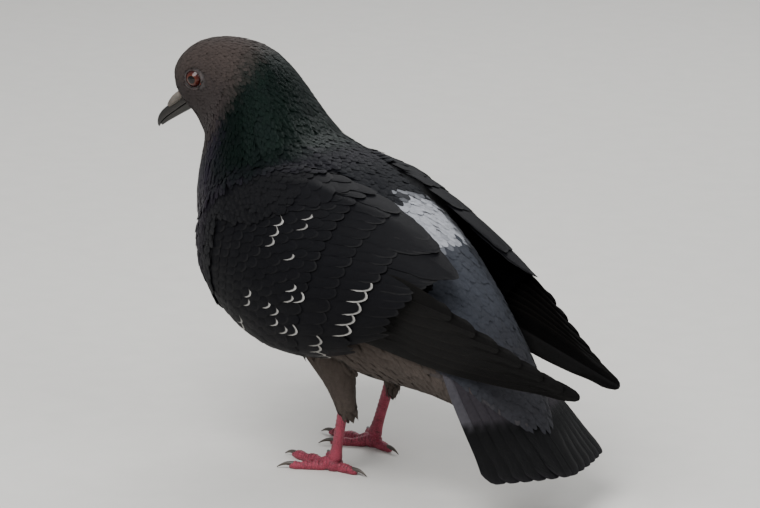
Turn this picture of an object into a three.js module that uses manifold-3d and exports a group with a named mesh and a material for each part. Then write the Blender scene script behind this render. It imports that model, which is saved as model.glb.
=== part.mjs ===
// A feral pigeon (Columba livia domestica), life size, as a still standing model.
// The bird stands on both feet with its head turned to its left, its tail lowered and its
// wings folded, so that the rump shows between them.
//
// Millimetres, +Z up. The bird faces -X, its left side is -Y, and the floor is Z = 0.
// Every solid is a loft: a row of closed rings, skinned and capped. The head, neck and trunk
// are lengths of one loft, so their outlines run on from one to the next.
import * as THREE from "three";
import { mergeVertices } from "three/addons/utils/BufferGeometryUtils.js";
import Module from "manifold-3d";

const wasm = await Module();
wasm.setup();

// ---------------------------------------------------------------- driving dimensions

const GAP = 0.3; // clearance between neighbouring solids
const LEFT = -1;
const RIGHT = 1;

// Stations of the body from the bill to the tail coverts. top and bottom are points [x, z] of
// the outline in the bird's middle plane, half is the half-width between them, and full
// carries that width up (positive) or down (negative).
const BODY = [
  { name: "round the bill", top: [-87.6, 170], bottom: [-81, 160], half: 5.2, full: 0 },
  { name: "forehead", top: [-88.2, 179], bottom: [-78.2, 157.4], half: 9.2, full: 0.1 },
  { name: "lores", top: [-82.6, 187.2], bottom: [-76, 154.5], half: 11.6, full: 0.14 },
  { name: "eyes", top: [-73.5, 192.6], bottom: [-74.8, 151], half: 12.8, full: 0.16 },
  { name: "cheeks", top: [-60.5, 194.4], bottom: [-72.8, 146], half: 14.8, full: 0.12 },
  { name: "hind crown", top: [-47.5, 192.2], bottom: [-72.6, 140.5], half: 18, full: 0.05 },
  { name: "nape", top: [-36.5, 186], bottom: [-73.6, 134.5], half: 22, full: 0 },
  { name: "mid neck", top: [-27.5, 176.5], bottom: [-74.4, 127.5], half: 26, full: 0 },
  { name: "low neck", top: [-18, 165], bottom: [-74.4, 118.5], half: 31, full: 0 },
  { name: "shoulders", top: [-6, 153.8], bottom: [-71.6, 106.5], half: 37, full: 0 },
  { name: "mantle", top: [13, 147.8], bottom: [-63.5, 91], half: 42, full: 0 },
  { name: "breast", top: [36, 140], bottom: [-50, 75.5], half: 44.5, full: 0 },
  { name: "back", top: [58, 129.5], bottom: [-30, 60.5], half: 44, full: -0.05 },
  { name: "belly", top: [78, 116], bottom: [-3, 51], half: 41.5, full: -0.1 },
  { name: "rump", top: [94, 101.5], bottom: [28, 47.5], half: 36, full: -0.1 },
  { name: "vent", top: [107, 87], bottom: [59, 46.5], half: 29.5, full: -0.05 },
  { name: "tail coverts", top: [117.5, 71.5], bottom: [84, 45.5], half: 25, full: 0 },
  { name: "covert tips", top: [127, 57], bottom: [106, 42], half: 20, full: 0 },
  { name: "covert end", top: [135, 45.5], bottom: [125.5, 37], half: 13, full: 0 },
];
const HEAD_END = 4.4; // stations at which the loft is parted
const NECK_END = 9;
const BODY_SIDES = 24;
const BODY_SQUARENESS = 0.86; // below 1 the rings are fuller than an ellipse

// The head is turned about an upright axis through the neck, more and more towards the face.
const HEAD_TURN = 26; // degrees to the bird's left
const TURN_AXIS_X = -45;
const TURN_FROM = 9.5; // station where the neck starts to turn
const TURN_TO = 3.2; // station from which the whole head has turned

// The head's own axes, before it is turned: forward along the bill, and up through the crown.
const BETWEEN_EYES = new THREE.Vector2(-75, 175.5); // [x, z]
const BILL_PITCH = 35; // degrees below the horizontal
const EYE = { out: 8.6, radius: 5.2 };

// Each lobe of the cere, in the head's axes: where it starts and ends along the bill, how high
// and how far out it lies, and its radii sideways and upright.
const CERE = { from: 12, to: 23.5, up: -1.9, sink: 1.4, out: 1.9, radii: [2.3, 2.4] };

// The folded wing, from the bend at the front to the tertial tips. Each row is a section
// across X: its upper and lower edge, how far out each edge and the middle lie, and its depth.
const WING = [
  { x: -51, upper: 107, lower: 97, outUpper: 34, out: 35.5, outLower: 34, deep: 8 },
  { x: -46, upper: 122, lower: 87, outUpper: 31, out: 42.5, outLower: 35, deep: 14 },
  { x: -24, upper: 138, lower: 70, outUpper: 25, out: 50, outLower: 38, deep: 18 },
  { x: 6, upper: 144, lower: 60, outUpper: 20, out: 53.5, outLower: 40, deep: 20 },
  { x: 36, upper: 141, lower: 60, outUpper: 17, out: 52.5, outLower: 40, deep: 18 },
  { x: 64, upper: 132, lower: 67, outUpper: 17, out: 48.5, outLower: 38, deep: 14 },
  { x: 86, upper: 121, lower: 78, outUpper: 19, out: 43, outLower: 35, deep: 10 },
  { x: 101, upper: 112, lower: 87, outUpper: 22, out: 36.5, outLower: 31.5, deep: 6.5 },
  { x: 112, upper: 104.5, lower: 96, outUpper: 25, out: 29.5, outLower: 28, deep: 4 },
];
const WING_SECTIONS = 14;
const WING_ARC = 8; // points along each side of a section
const WING_RIM = 1.4; // how far the wing's edges stand off the trunk
const WING_LIFT = { [LEFT]: 4, [RIGHT]: -4 }; // how much higher each wing's rear end is carried

// The long primaries that reach past the folded wing. The innermost is the shortest and
// lies outermost, and the longest one makes the wing's lower edge and its tip.
const PRIMARY = {
  count: 5,
  rootX: 72,
  rootLow: [35, 80], // [out, z] of the longest feather's root
  rootHigh: [36, 95], // and of the shortest one's
  tipFar: [172.5, 12.5, 64.5], // [x, out, z] of the longest feather's tip
  tipNear: [121, 27, 83],
  halfWidth: 8,
  thick: 1.7,
  layer: 0.8, // how far each shorter feather lies outside the next
};

// The twelve tail feathers, a little fanned, the middle pair on top.
const TAIL = {
  root: [82, 92], // [x, z]
  slope: 44, // degrees below the horizontal
  length: 102,
  shorter: 1.1, // how much each next feather is shorter, outwards
  fanStep: 2.9, // degrees between neighbouring feathers
  halfWidth: 10,
  thick: 1.7,
  layer: 0.95, // how far each feather lies under the one further in
  perSide: 6,
};

// Legs. The foot's ball is where the toes meet. Angles are from straight ahead, outwards.
const LEG = {
  out: 20,
  ballX: { [LEFT]: 24, [RIGHT]: 10 }, // the left foot stands a little further back
  ankle: [11, 2, 31], // from the ball: back, out, up
  knee: [4, 6, 66],
  shankRadius: 2.35,
  thighRadii: [4.2, 5.2, 7.6, 11, 14],
};
const TOES = [
  { name: "hind", length: 13.5, angle: 187, pads: 1, radius: 2.5 },
  { name: "inner", length: 21, angle: -37, pads: 2, radius: 2.6 },
  { name: "middle", length: 29, angle: -2, pads: 3, radius: 2.8 },
  { name: "outer", length: 21.5, angle: 38, pads: 4, radius: 2.5 },
];
const CLAW_LENGTH = 7;
const THIGH_FLATNESS = [0.85, 1.15]; // the thigh's width and depth, as shares of its radius
const BALL = { radius: 4.1, scale: [1.05, 1.1, 0.92], height: 3.1 }; // the pad where the toes meet
const TOE_START_DROP = 1.2; // how far below the ball's middle the toes leave it

// Each claw, from its root to its tip: how far it starts inside the toe, its height, how it
// arches and drops, and its two radii at either end.
const CLAW = {
  overlap: 1.2,
  height: 2.25,
  arch: 0.5,
  drop: 1.5,
  wide: [1.15, 0.34],
  tall: [1.4, 0.38],
};

// How finely the round forms are drawn.
const RINGS = {
  head: 9,
  neck: 8,
  trunk: 18,
  whole: 40,
  thigh: 7,
  shank: 6,
  toe: 6,
  claw: 4,
  cere: 6,
};
const SIDES = { bill: 10, cere: 6, thigh: 10, shank: 8, toe: 7, claw: 6 };

// ---------------------------------------------------------------- materials

const paint = (color, roughness, metalness = 0) =>
  new THREE.MeshStandardMaterial({ color, roughness, metalness });
const HEAD_FEATHER = paint(0x4b494b, 0.8);
const NECK_FEATHER = paint(0x1d3433, 0.5, 0.2);
const BODY_FEATHER = paint(0x3c3a40, 0.85);
const WING_FEATHER = paint(0x1b1c21, 0.7);
const FLIGHT_FEATHER = paint(0x232125, 0.6);
const TAIL_FEATHER = paint(0x2c2c33, 0.65);
const THIGH_FEATHER = paint(0x66625f, 0.9);
const LEG_SKIN = paint(0xa8404c, 0.6);
const HORN = paint(0x24211f, 0.4);
const CERE_SKIN = paint(0xb9b3ad, 0.85);
const IRIS = paint(0xb3491c, 0.1);

// ---------------------------------------------------------------- small helpers

const rad = THREE.MathUtils.degToRad;
const mix = THREE.MathUtils.lerp;
const vec = (x, y, z) => new THREE.Vector3(x, y, z);
const range = (n) => [...Array(n).keys()];
const shares = (n) => range(n).map((i) => i / (n - 1)); // n even steps from 0 to 1

// A value that runs smoothly through a list of numbers, at station t.
function smooth(list, t) {
  const last = list.length - 1;
  const i = THREE.MathUtils.clamp(Math.floor(t), 0, last - 1);
  const u = t - i;
  const p = [i - 1, i, i + 1, i + 2].map((k) => list[THREE.MathUtils.clamp(k, 0, last)]);
  const a = 2 * p[1];
  const b = p[2] - p[0];
  const c = 2 * p[0] - 5 * p[1] + 4 * p[2] - p[3];
  const d = 3 * p[1] - p[0] - 3 * p[2] + p[3];
  return (a + b * u + c * u * u + d * u * u * u) / 2;
}

const curve = (rows, pick, t) => smooth(rows.map(pick), t);

// The unit normal of a ring of points, by Newell's method.
function ringNormal(ring) {
  const sum = vec(0, 0, 0);
  ring.forEach((p, i) => sum.add(p.clone().cross(ring[(i + 1) % ring.length])));
  return sum.normalize();
}

// The rings of a loft moved outwards by a margin, the two end rings lengthways too.
function grown(rings, by) {
  if (by === 0) return rings;
  return rings.map((ring, r) => {
    const normal = ringNormal(ring);
    const ahead = centreOf(rings[Math.min(r + 1, rings.length - 1)]);
    ahead.sub(centreOf(rings[Math.max(r - 1, 0)]));
    const end = r === 0 ? -1 : r === rings.length - 1 ? 1 : 0;
    const along = normal.clone().multiplyScalar(Math.sign(normal.dot(ahead)) * end * by);
    return ring.map((p, i) => {
      const before = ring[(i + ring.length - 1) % ring.length];
      const tangent = ring[(i + 1) % ring.length].clone().sub(before);
      const out = tangent.cross(normal).normalize().multiplyScalar(by);
      return p.clone().add(out).add(along);
    });
  });
}

function centreOf(points) {
  const sum = points.reduce((total, p) => total.add(p), vec(0, 0, 0));
  return sum.multiplyScalar(1 / points.length);
}

// A closed surface through rings of equally many points.
function loftGeometry(shape) {
  const sides = shape[0].length;
  const ends = [centreOf(shape[0]), centreOf(shape[shape.length - 1])];
  const points = [...shape.flat(), ...ends].flatMap((p) => p.toArray());
  const index = [];
  const lastRing = (shape.length - 1) * sides;
  const firstEnd = shape.length * sides;
  for (const j of range(sides)) {
    const k = (j + 1) % sides;
    for (const r of range(shape.length - 1)) {
      const a = r * sides;
      index.push(a + j, a + k, a + sides + k, a + j, a + sides + k, a + sides + j);
    }
    index.push(firstEnd, k, j, firstEnd + 1, lastRing + j, lastRing + k);
  }
  const geometry = new THREE.BufferGeometry();
  geometry.setAttribute("position", new THREE.Float32BufferAttribute(points, 3));
  geometry.setIndex(index);
  return geometry;
}

const loft = (rings, margin = 0) => solid(loftGeometry(grown(rings, margin)));

// A three.js geometry as a solid for cutting and joining, its faces turned outwards.
function solid(geometry) {
  const bare = geometry.clone();
  bare.deleteAttribute("normal");
  bare.deleteAttribute("uv");
  const merged = mergeVertices(bare, 1e-4);
  const triVerts = new Uint32Array(merged.index.array);
  const make = () => {
    const vertProperties = new Float32Array(merged.attributes.position.array);
    return new wasm.Manifold(new wasm.Mesh({ numProp: 3, vertProperties, triVerts }));
  };
  const made = make();
  if (made.volume() > 0) return made;
  for (let i = 0; i < triVerts.length; i += 3) {
    [triVerts[i + 1], triVerts[i + 2]] = [triVerts[i + 2], triVerts[i + 1]];
  }
  return make();
}

const joined = (solids) => solids.reduce((whole, next) => whole.add(next));
const cut = (body, ...tools) => tools.reduce((rest, tool) => rest.subtract(tool), body);

// The largest of the bodies that a cut has left.
const largest = (body) =>
  body.decompose().reduce((best, next) => (next.volume() > best.volume() ? next : best));

function named(name, body, material) {
  const { numProp, vertProperties, triVerts } = largest(body).getMesh();
  const geometry = new THREE.BufferGeometry();
  const position = range(vertProperties.length / numProp).flatMap((i) => [
    ...vertProperties.subarray(i * numProp, i * numProp + 3),
  ]);
  geometry.setAttribute("position", new THREE.Float32BufferAttribute(position, 3));
  geometry.setIndex([...triVerts]);
  geometry.computeVertexNormals();
  const mesh = new THREE.Mesh(geometry, material);
  mesh.name = name;
  return mesh;
}

// Rings round a path, each across the path there. radii are [sideways, upright] at each point.
function tubeRings(path, radii, sides) {
  return path.map((p, i) => {
    const ahead = path[Math.min(i + 1, path.length - 1)].clone();
    ahead.sub(path[Math.max(i - 1, 0)]).normalize();
    const side = vec(0, 0, 1).cross(ahead).normalize();
    const up = ahead.clone().cross(side);
    return range(sides).map((j) => {
      const angle = (2 * Math.PI * (j + 0.5)) / sides;
      const ring = p.clone().addScaledVector(side, radii[i][0] * Math.cos(angle));
      return ring.addScaledVector(up, radii[i][1] * Math.sin(angle));
    });
  });
}

// ---------------------------------------------------------------- head, neck and trunk

// How far the bird's head turn has come at a station, as an angle.
function turnAt(t) {
  const share = THREE.MathUtils.smootherstep(TURN_FROM - t, 0, TURN_FROM - TURN_TO);
  return rad(HEAD_TURN) * share;
}

function turned(point, angle) {
  const x = point.x - TURN_AXIS_X;
  const { y, z } = point;
  const c = Math.cos(angle);
  const s = Math.sin(angle);
  return vec(TURN_AXIS_X + x * c - y * s, x * s + y * c, z);
}

function bodyRing(t) {
  const top = vec(curve(BODY, (s) => s.top[0], t), 0, curve(BODY, (s) => s.top[1], t));
  const bottom = vec(curve(BODY, (s) => s.bottom[0], t), 0, curve(BODY, (s) => s.bottom[1], t));
  const half = curve(BODY, (s) => s.half, t);
  const full = curve(BODY, (s) => s.full, t);
  const centre = top.clone().add(bottom).multiplyScalar(0.5);
  const reach = top.clone().sub(bottom).multiplyScalar(0.5);
  return range(BODY_SIDES).map((j) => {
    const angle = (2 * Math.PI * j) / BODY_SIDES;
    const upward = Math.cos(angle);
    const sideways = Math.sin(angle);
    const width = half * Math.abs(sideways) ** BODY_SQUARENESS * (1 + full * upward);
    const point = centre.clone().addScaledVector(reach, upward);
    point.y = Math.sign(sideways) * width;
    return turned(point, turnAt(t));
  });
}

function bodyLength(from, to, rings, margin = 0) {
  return loft(range(rings).map((r) => bodyRing(mix(from, to, r / (rings - 1)))), margin);
}

// A point given in the head's own axes: forward along the bill, up, and out to a side.
function onHead(forward, up, out) {
  const pitch = rad(BILL_PITCH);
  const x = BETWEEN_EYES.x - forward * Math.cos(pitch) - up * Math.sin(pitch);
  const z = BETWEEN_EYES.y - forward * Math.sin(pitch) + up * Math.cos(pitch);
  return turned(vec(x, out, z), rad(HEAD_TURN));
}

function eyeball(side, margin = 0) {
  const ball = new THREE.SphereGeometry(EYE.radius + margin, 12, 7);
  ball.translate(...onHead(0, 0, side * EYE.out).toArray());
  return solid(ball);
}

// ---------------------------------------------------------------- bill and cere

// A ring across one half of the bill: its forward place, its upper and lower edge and half its
// width, which is widest at the level given as a share from the lower edge.
function billRing(forward, upper, lower, half, widest) {
  const middle = mix(lower, upper, widest);
  return range(SIDES.bill).map((j) => {
    const angle = (2 * Math.PI * (j + 0.5)) / SIDES.bill;
    const upward = Math.cos(angle);
    const up = middle + upward * (upward > 0 ? upper - middle : middle - lower);
    return onHead(forward, up, half * Math.sin(angle));
  });
}

// The upper half hooks a little over the lower one at the tip.
function upperBill(margin = 0) {
  const widest = 0.03;
  const rings = [
    billRing(9, -2.2, -7, 4.2, widest),
    billRing(16, -2.1, -7, 3.9, widest),
    billRing(22, -2.5, -7, 3.2, widest),
    billRing(27.5, -3.4, -7.2, 2.5, widest),
    billRing(32, -5, -7.8, 1.6, widest),
    billRing(34.6, -7.4, -9.2, 0.7, widest),
  ];
  return loft(rings, margin);
}

function lowerBill() {
  const widest = 0.97;
  return loft([
    billRing(9, -7.3, -10.8, 4, widest),
    billRing(16, -7.3, -10.5, 3.6, widest),
    billRing(22, -7.3, -10.1, 2.9, widest),
    billRing(28, -7.6, -9.8, 2, widest),
    billRing(32.6, -8.3, -9.6, 0.9, widest),
  ]);
}

// The cere is a pair of soft swellings over the nostrils, at the root of the upper bill.
function cereLobe(side) {
  const { from, to, up, sink, out, radii } = CERE;
  const stations = shares(RINGS.cere);
  const path = stations.map((s) => onHead(mix(from, to, s), up - sink * s * s, side * out));
  const sizes = stations.map((s) => {
    const swell = Math.sin(Math.PI * mix(0.14, 0.88, s)) ** 0.7;
    return radii.map((radius) => radius * swell);
  });
  return loft(tubeRings(path, sizes, SIDES.cere));
}

// ---------------------------------------------------------------- wings

// The trunk's surface as a mesh, to measure how far out it lies at a place [x, z].
const trunkSurface = new THREE.Mesh(
  loftGeometry(range(40).map((r) => bodyRing(mix(6, BODY.length - 1, r / 39)))),
  new THREE.MeshBasicMaterial({ side: THREE.DoubleSide })
);

function trunkOut(x, z) {
  const beside = vec(x, -200, z);
  const hit = new THREE.Raycaster(beside, vec(0, 1, 0)).intersectObject(trunkSurface)[0];
  return hit ? Math.abs(hit.point.y) : 0;
}

const largerOf = (a, b) => (a + b + Math.hypot(a - b, 2)) / 2; // with a soft turn between them

function wingRing(t, side) {
  const at = (key) => curve(WING, (row) => row[key], t);
  const x = at("x");
  const lift = WING_LIFT[side] * THREE.MathUtils.smoothstep(x, 20, 95);
  const centre = (at("upper") + at("lower")) / 2 + lift;
  const tall = (at("upper") - at("lower")) / 2;
  const edge = (share) => mix(at("outUpper"), at("outLower"), share);
  const bulge = at("out") - edge(0.5);
  const outAt = (angle, z) => {
    const lens = edge((1 - Math.cos(angle)) / 2) + bulge * Math.sin(angle) ** 0.8;
    return largerOf(lens, trunkOut(x, z) + WING_RIM);
  };
  const outer = range(WING_ARC).map((i) => {
    const angle = (Math.PI * i) / (WING_ARC - 1);
    const z = centre + tall * Math.cos(angle);
    return vec(x, side * outAt(angle, z), z);
  });
  const inner = range(WING_ARC - 2).map((i) => {
    const angle = (Math.PI * (WING_ARC - 2 - i)) / (WING_ARC - 1);
    const z = centre + tall * Math.cos(angle);
    return vec(x, side * (outAt(angle, z) - at("deep") * Math.sin(angle) ** 0.5), z);
  });
  return [...outer, ...inner];
}

function wing(side, margin = 0) {
  const last = WING.length - 1;
  const rings = range(WING_SECTIONS).map((r) => wingRing((last * r) / (WING_SECTIONS - 1), side));
  return loft(rings, margin);
}

// ---------------------------------------------------------------- long feathers

// Half the width of a long feather at a share s of its length: parallel, then a rounded tip.
function vaneHalfWidth(s, halfWidth) {
  const base = mix(0.62, 1, THREE.MathUtils.smoothstep(s, 0, 0.45));
  const tip = Math.sqrt(Math.max(0, 1 - (Math.max(0, s - 0.8) / 0.2) ** 2));
  return halfWidth * base * Math.max(tip, 0.25);
}

// One long feather from its root to its tip, a flat vane with a thin rim. across is the
// direction of its width and face the direction in which its upper side looks.
function vane(root, tip, across, face, halfWidth, thick) {
  const rim = 0.6; // the rim's thickness
  const rings = [0, 0.45, 0.8, 0.9, 0.96, 1].map((s) => {
    const half = vaneHalfWidth(s, halfWidth);
    const centre = root.clone().lerp(tip, s);
    const corners = [
      [1, rim],
      [0, thick],
      [-1, rim],
      [-1, -rim],
      [0, -thick],
      [1, -rim],
    ];
    return corners.map(([w, h]) =>
      centre.clone().addScaledVector(across, w * half).addScaledVector(face, h / 2)
    );
  });
  return loft(rings);
}

function primaries(side) {
  const { count, rootX, rootLow, rootHigh, tipFar, tipNear, halfWidth, thick, layer } = PRIMARY;
  const feathers = range(count).map((i) => {
    const s = i / (count - 1); // 0 the longest, 1 the shortest
    const outward = i * layer;
    const reach = s ** 1.15;
    const high = WING_LIFT[side] * s;
    const root = vec(
      rootX,
      side * (mix(rootLow[0], rootHigh[0], s) + outward),
      mix(rootLow[1], rootHigh[1], s) + high
    );
    const tip = vec(
      mix(tipFar[0], tipNear[0], reach),
      side * (mix(tipFar[1], tipNear[1], reach) + outward),
      mix(tipFar[2], tipNear[2], reach ** 1.2) + high
    );
    const along = tip.clone().sub(root).normalize();
    const across = vec(0, side * 0.12, 1).cross(along).cross(along).normalize();
    const face = along.clone().cross(across).normalize();
    return vane(root, tip, across, face, halfWidth * mix(0.8, 1, s), thick);
  });
  return joined(feathers);
}

function tail() {
  const { root, slope, length, shorter, fanStep, halfWidth, thick, layer, perSide } = TAIL;
  const down = rad(slope);
  const ahead = vec(Math.cos(down), 0, -Math.sin(down));
  const face = vec(Math.sin(down), 0, Math.cos(down));
  const feathers = [LEFT, RIGHT].flatMap((side) =>
    range(perSide).map((i) => {
      const fan = rad(fanStep * (i + 0.5));
      const along = ahead.clone().multiplyScalar(Math.cos(fan));
      along.y = side * Math.sin(fan);
      const under = -layer * (i + (side === LEFT ? 0 : 0.35)) - 0.12 * i * i;
      const from = vec(root[0], side * 1.4 * i, root[1]).addScaledVector(face, under * 0.6);
      const to = from.clone().addScaledVector(along, length - shorter * i);
      to.addScaledVector(face, under * 0.4);
      const tilt = face.clone().add(vec(0, side * 0.05 * i, 0)).normalize();
      const across = along.clone().cross(tilt).normalize();
      return vane(from, to, across, tilt, halfWidth, thick);
    })
  );
  return joined(feathers);
}

// ---------------------------------------------------------------- legs and feet

const ballOf = (side) => vec(LEG.ballX[side], side * LEG.out, 5.4);

function fromBall(side, [back, out, up]) {
  const ball = ballOf(side);
  return vec(ball.x + back, ball.y + side * out, up);
}

// The feathered thigh narrows down to the ankle joint, which bends backwards.
function thigh(side, margin = 0) {
  const ankle = fromBall(side, LEG.ankle);
  const knee = fromBall(side, LEG.knee);
  const last = LEG.thighRadii.length - 1;
  const steps = shares(RINGS.thigh);
  const path = steps.map((s) => ankle.clone().lerp(knee, s));
  const radii = steps.map((s) =>
    THIGH_FLATNESS.map((flatness) => smooth(LEG.thighRadii, s * last) * flatness)
  );
  return loft(tubeRings(path, radii, SIDES.thigh), margin);
}

// The bare shank, a little wider at both joints.
function shank(side, margin = 0) {
  const ankle = fromBall(side, LEG.ankle).add(vec(0.6, 0, 2.5));
  const foot = ballOf(side).add(vec(0.8, 0, 1.2));
  const steps = shares(RINGS.shank);
  const path = steps.map((s) => foot.clone().lerp(ankle, s));
  const radii = steps.map((s) => {
    const joint = 1 + 0.42 * (2 * s - 1) ** 4;
    return [LEG.shankRadius * joint, LEG.shankRadius * 1.14 * joint];
  });
  return loft(tubeRings(path, radii, SIDES.shank), margin);
}

const toeDirection = (side, toe) =>
  vec(-Math.cos(rad(toe.angle)), side * Math.sin(rad(toe.angle)), 0);

// The radius of a toe at a share s of its length, with a pad under each of its bones.
const toeRadius = (toe, s) =>
  toe.radius * mix(1, 0.74, s) * (1 + 0.1 * Math.cos(2 * Math.PI * (toe.pads * s - 0.5)));

// The rings of a toe at these shares of its length. Its last ring is drawn in.
function toeRings(side, digit, steps) {
  const along = toeDirection(side, digit);
  const path = steps.map((s) => {
    const p = ballOf(side).addScaledVector(along, digit.length * s);
    const low = toeRadius(digit, s) * 0.84;
    p.z = mix(p.z - TOE_START_DROP, low, THREE.MathUtils.smoothstep(s, 0, 0.3));
    return p;
  });
  const radii = steps.map((s) => {
    const radius = toeRadius(digit, s) * (s === 1 ? 0.72 : 1);
    return [radius * 0.95, radius];
  });
  return tubeRings(path, radii, SIDES.toe);
}

// Everything below the floor, cut off to leave small flats under the toes.
const floor = new THREE.BoxGeometry(400, 400, 40);
floor.translate(0, 0, -20);
const BELOW_FLOOR = solid(floor);

function foot(side) {
  const ball = new THREE.SphereGeometry(BALL.radius, 9, 6);
  ball.scale(...BALL.scale);
  ball.translate(ballOf(side).x, ballOf(side).y, BALL.height);
  const toes = TOES.map((digit) => loft(toeRings(side, digit, shares(RINGS.toe))));
  return cut(joined([solid(ball), ...toes]), BELOW_FLOOR);
}

// The end of a toe with the clearance round it, to part the claw from it.
const toeEnd = (side, digit) => loft(toeRings(side, digit, [0.7, 0.8, 0.9, 1]), GAP);

// A claw leaves the toe's upper half and curves down to the floor.
function claw(side, digit) {
  const along = toeDirection(side, digit);
  const steps = shares(RINGS.claw);
  const from = ballOf(side).addScaledVector(along, digit.length - CLAW.overlap);
  const path = steps.map((s) => {
    const p = from.clone().addScaledVector(along, CLAW_LENGTH * s);
    p.z = CLAW.height + CLAW.arch * Math.sin(Math.PI * s) - CLAW.drop * s * s;
    return p;
  });
  const radii = steps.map((s) => [mix(...CLAW.wide, s ** 1.2), mix(...CLAW.tall, s)]);
  return loft(tubeRings(path, radii, SIDES.claw));
}

// ---------------------------------------------------------------- the bird, part by part

const STATION_GAP = 0.03; // the same clearance, in stations of the body loft
const LAST = BODY.length - 1;
const pigeon = new THREE.Group();
pigeon.name = "pigeon";

const wholeBody = bodyLength(0, LAST, RINGS.whole, GAP);
const sockets = [LEFT, RIGHT].map((side) => eyeball(side, GAP));
const headSolid = cut(bodyLength(0, HEAD_END - STATION_GAP, RINGS.head), ...sockets);
pigeon.add(named("head", headSolid, HEAD_FEATHER));
const neckSolid = bodyLength(HEAD_END + STATION_GAP, NECK_END - STATION_GAP, RINGS.neck);
pigeon.add(named("neck", neckSolid, NECK_FEATHER));
const trunkSolid = bodyLength(NECK_END + STATION_GAP, LAST, RINGS.trunk);
pigeon.add(named("trunk", trunkSolid, BODY_FEATHER));

const billTool = upperBill(GAP);
pigeon.add(named("bill_upper", cut(upperBill(), wholeBody), HORN));
pigeon.add(named("bill_lower", cut(lowerBill(), wholeBody, billTool), HORN));
const cere = joined([cereLobe(LEFT), cereLobe(RIGHT)]);
pigeon.add(named("cere", cut(cere, wholeBody, billTool), CERE_SKIN));

pigeon.add(named("tail", cut(tail(), wholeBody), TAIL_FEATHER));

for (const [word, side] of [
  ["left", LEFT],
  ["right", RIGHT],
]) {
  const wingTool = wing(side, GAP);
  const thighTool = thigh(side, GAP);
  const shankTool = shank(side, GAP);
  pigeon.add(named(`eye_${word}`, eyeball(side), IRIS));
  pigeon.add(named(`wing_${word}`, cut(wing(side), wholeBody), WING_FEATHER));
  pigeon.add(
    named(`primaries_${word}`, cut(primaries(side), wholeBody, wingTool), FLIGHT_FEATHER)
  );
  pigeon.add(named(`thigh_${word}`, cut(thigh(side), wholeBody, wingTool), THIGH_FEATHER));
  pigeon.add(named(`shank_${word}`, cut(shank(side), thighTool), LEG_SKIN));
  const footSolid = foot(side);
  pigeon.add(named(`foot_${word}`, cut(footSolid, shankTool), LEG_SKIN));
  for (const digit of TOES) {
    const clawSolid = cut(claw(side, digit), toeEnd(side, digit), BELOW_FLOOR);
    pigeon.add(named(`claw_${word}_${digit.name}`, clawSolid, HORN));
  }
}

// The origin is on the floor, under the middle of the bird's box.
const box = new THREE.Box3().setFromObject(pigeon);
const middle = box.getCenter(new THREE.Vector3());
pigeon.position.set(-middle.x, -middle.y, -box.min.z);

export default pigeon;
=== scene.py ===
# %% [markdown]
# # A feral pigeon, life size, in feather
#
# The solids of the bird are already there, packed as a frame that is never moved. This lesson
# dresses them: one skin over all the flesh, about 8,500 separate feathers that lie on it like
# tiles on a roof, and the bare parts, which are the eyes, bill, cere, legs and claws.
# Lengths are in millimetres while a shape is worked out, and turn to metres as it is made.

# %% Load the frame and keep its box
import math

import bmesh
import bpy
import numpy as np
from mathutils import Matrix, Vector
from mathutils.bvhtree import BVHTree


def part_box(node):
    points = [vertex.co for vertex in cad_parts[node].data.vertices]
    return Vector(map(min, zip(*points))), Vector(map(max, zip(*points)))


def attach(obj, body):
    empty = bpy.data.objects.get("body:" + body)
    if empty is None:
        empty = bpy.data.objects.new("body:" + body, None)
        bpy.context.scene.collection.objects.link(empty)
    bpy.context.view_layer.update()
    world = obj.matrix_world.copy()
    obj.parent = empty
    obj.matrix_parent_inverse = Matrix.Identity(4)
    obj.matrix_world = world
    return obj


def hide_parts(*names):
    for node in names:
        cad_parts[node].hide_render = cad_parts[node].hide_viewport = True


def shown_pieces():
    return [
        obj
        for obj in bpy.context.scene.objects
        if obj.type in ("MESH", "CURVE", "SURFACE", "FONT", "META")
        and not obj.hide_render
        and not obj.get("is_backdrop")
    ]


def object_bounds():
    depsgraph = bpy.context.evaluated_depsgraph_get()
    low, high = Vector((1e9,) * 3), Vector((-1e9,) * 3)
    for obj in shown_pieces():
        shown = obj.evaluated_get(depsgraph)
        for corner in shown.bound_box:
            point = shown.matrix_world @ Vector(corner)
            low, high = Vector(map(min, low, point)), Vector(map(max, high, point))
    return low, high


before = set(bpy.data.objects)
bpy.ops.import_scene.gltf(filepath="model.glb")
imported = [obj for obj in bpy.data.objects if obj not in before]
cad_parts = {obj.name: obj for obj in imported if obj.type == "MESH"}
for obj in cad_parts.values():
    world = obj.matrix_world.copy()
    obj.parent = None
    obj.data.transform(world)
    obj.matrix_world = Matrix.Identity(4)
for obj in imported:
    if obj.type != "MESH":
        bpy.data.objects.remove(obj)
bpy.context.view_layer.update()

MM = 0.001

# %% [markdown]
# ## Where things are
#
# The bird was drawn with its bill towards -X and its left side towards -Y, and its head is
# turned 26 degrees to the left about an upright line through the neck. Every place could be
# given in the frame's own metres, but a maker thinks from one zero and in millimetres. The
# eyes are the surest landmark of the frame, so the drawing's zero is found from them.

# %% The drawing's own axes
HEAD_TURN = math.radians(26)
TURN_AXIS_X = -45
BETWEEN_EYES = (-75, 175.5)  # x and z, before the head is turned
BILL_PITCH = math.radians(35)  # below level
EYE_OUT = 8.6  # from there to the middle of each eyeball


def turned(points, angle):
    points = np.array(points, float)
    x = points[..., 0] - TURN_AXIS_X
    y = points[..., 1].copy()
    points[..., 0] = TURN_AXIS_X + x * np.cos(angle) - y * np.sin(angle)
    points[..., 1] = x * np.sin(angle) + y * np.cos(angle)
    return points


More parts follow.
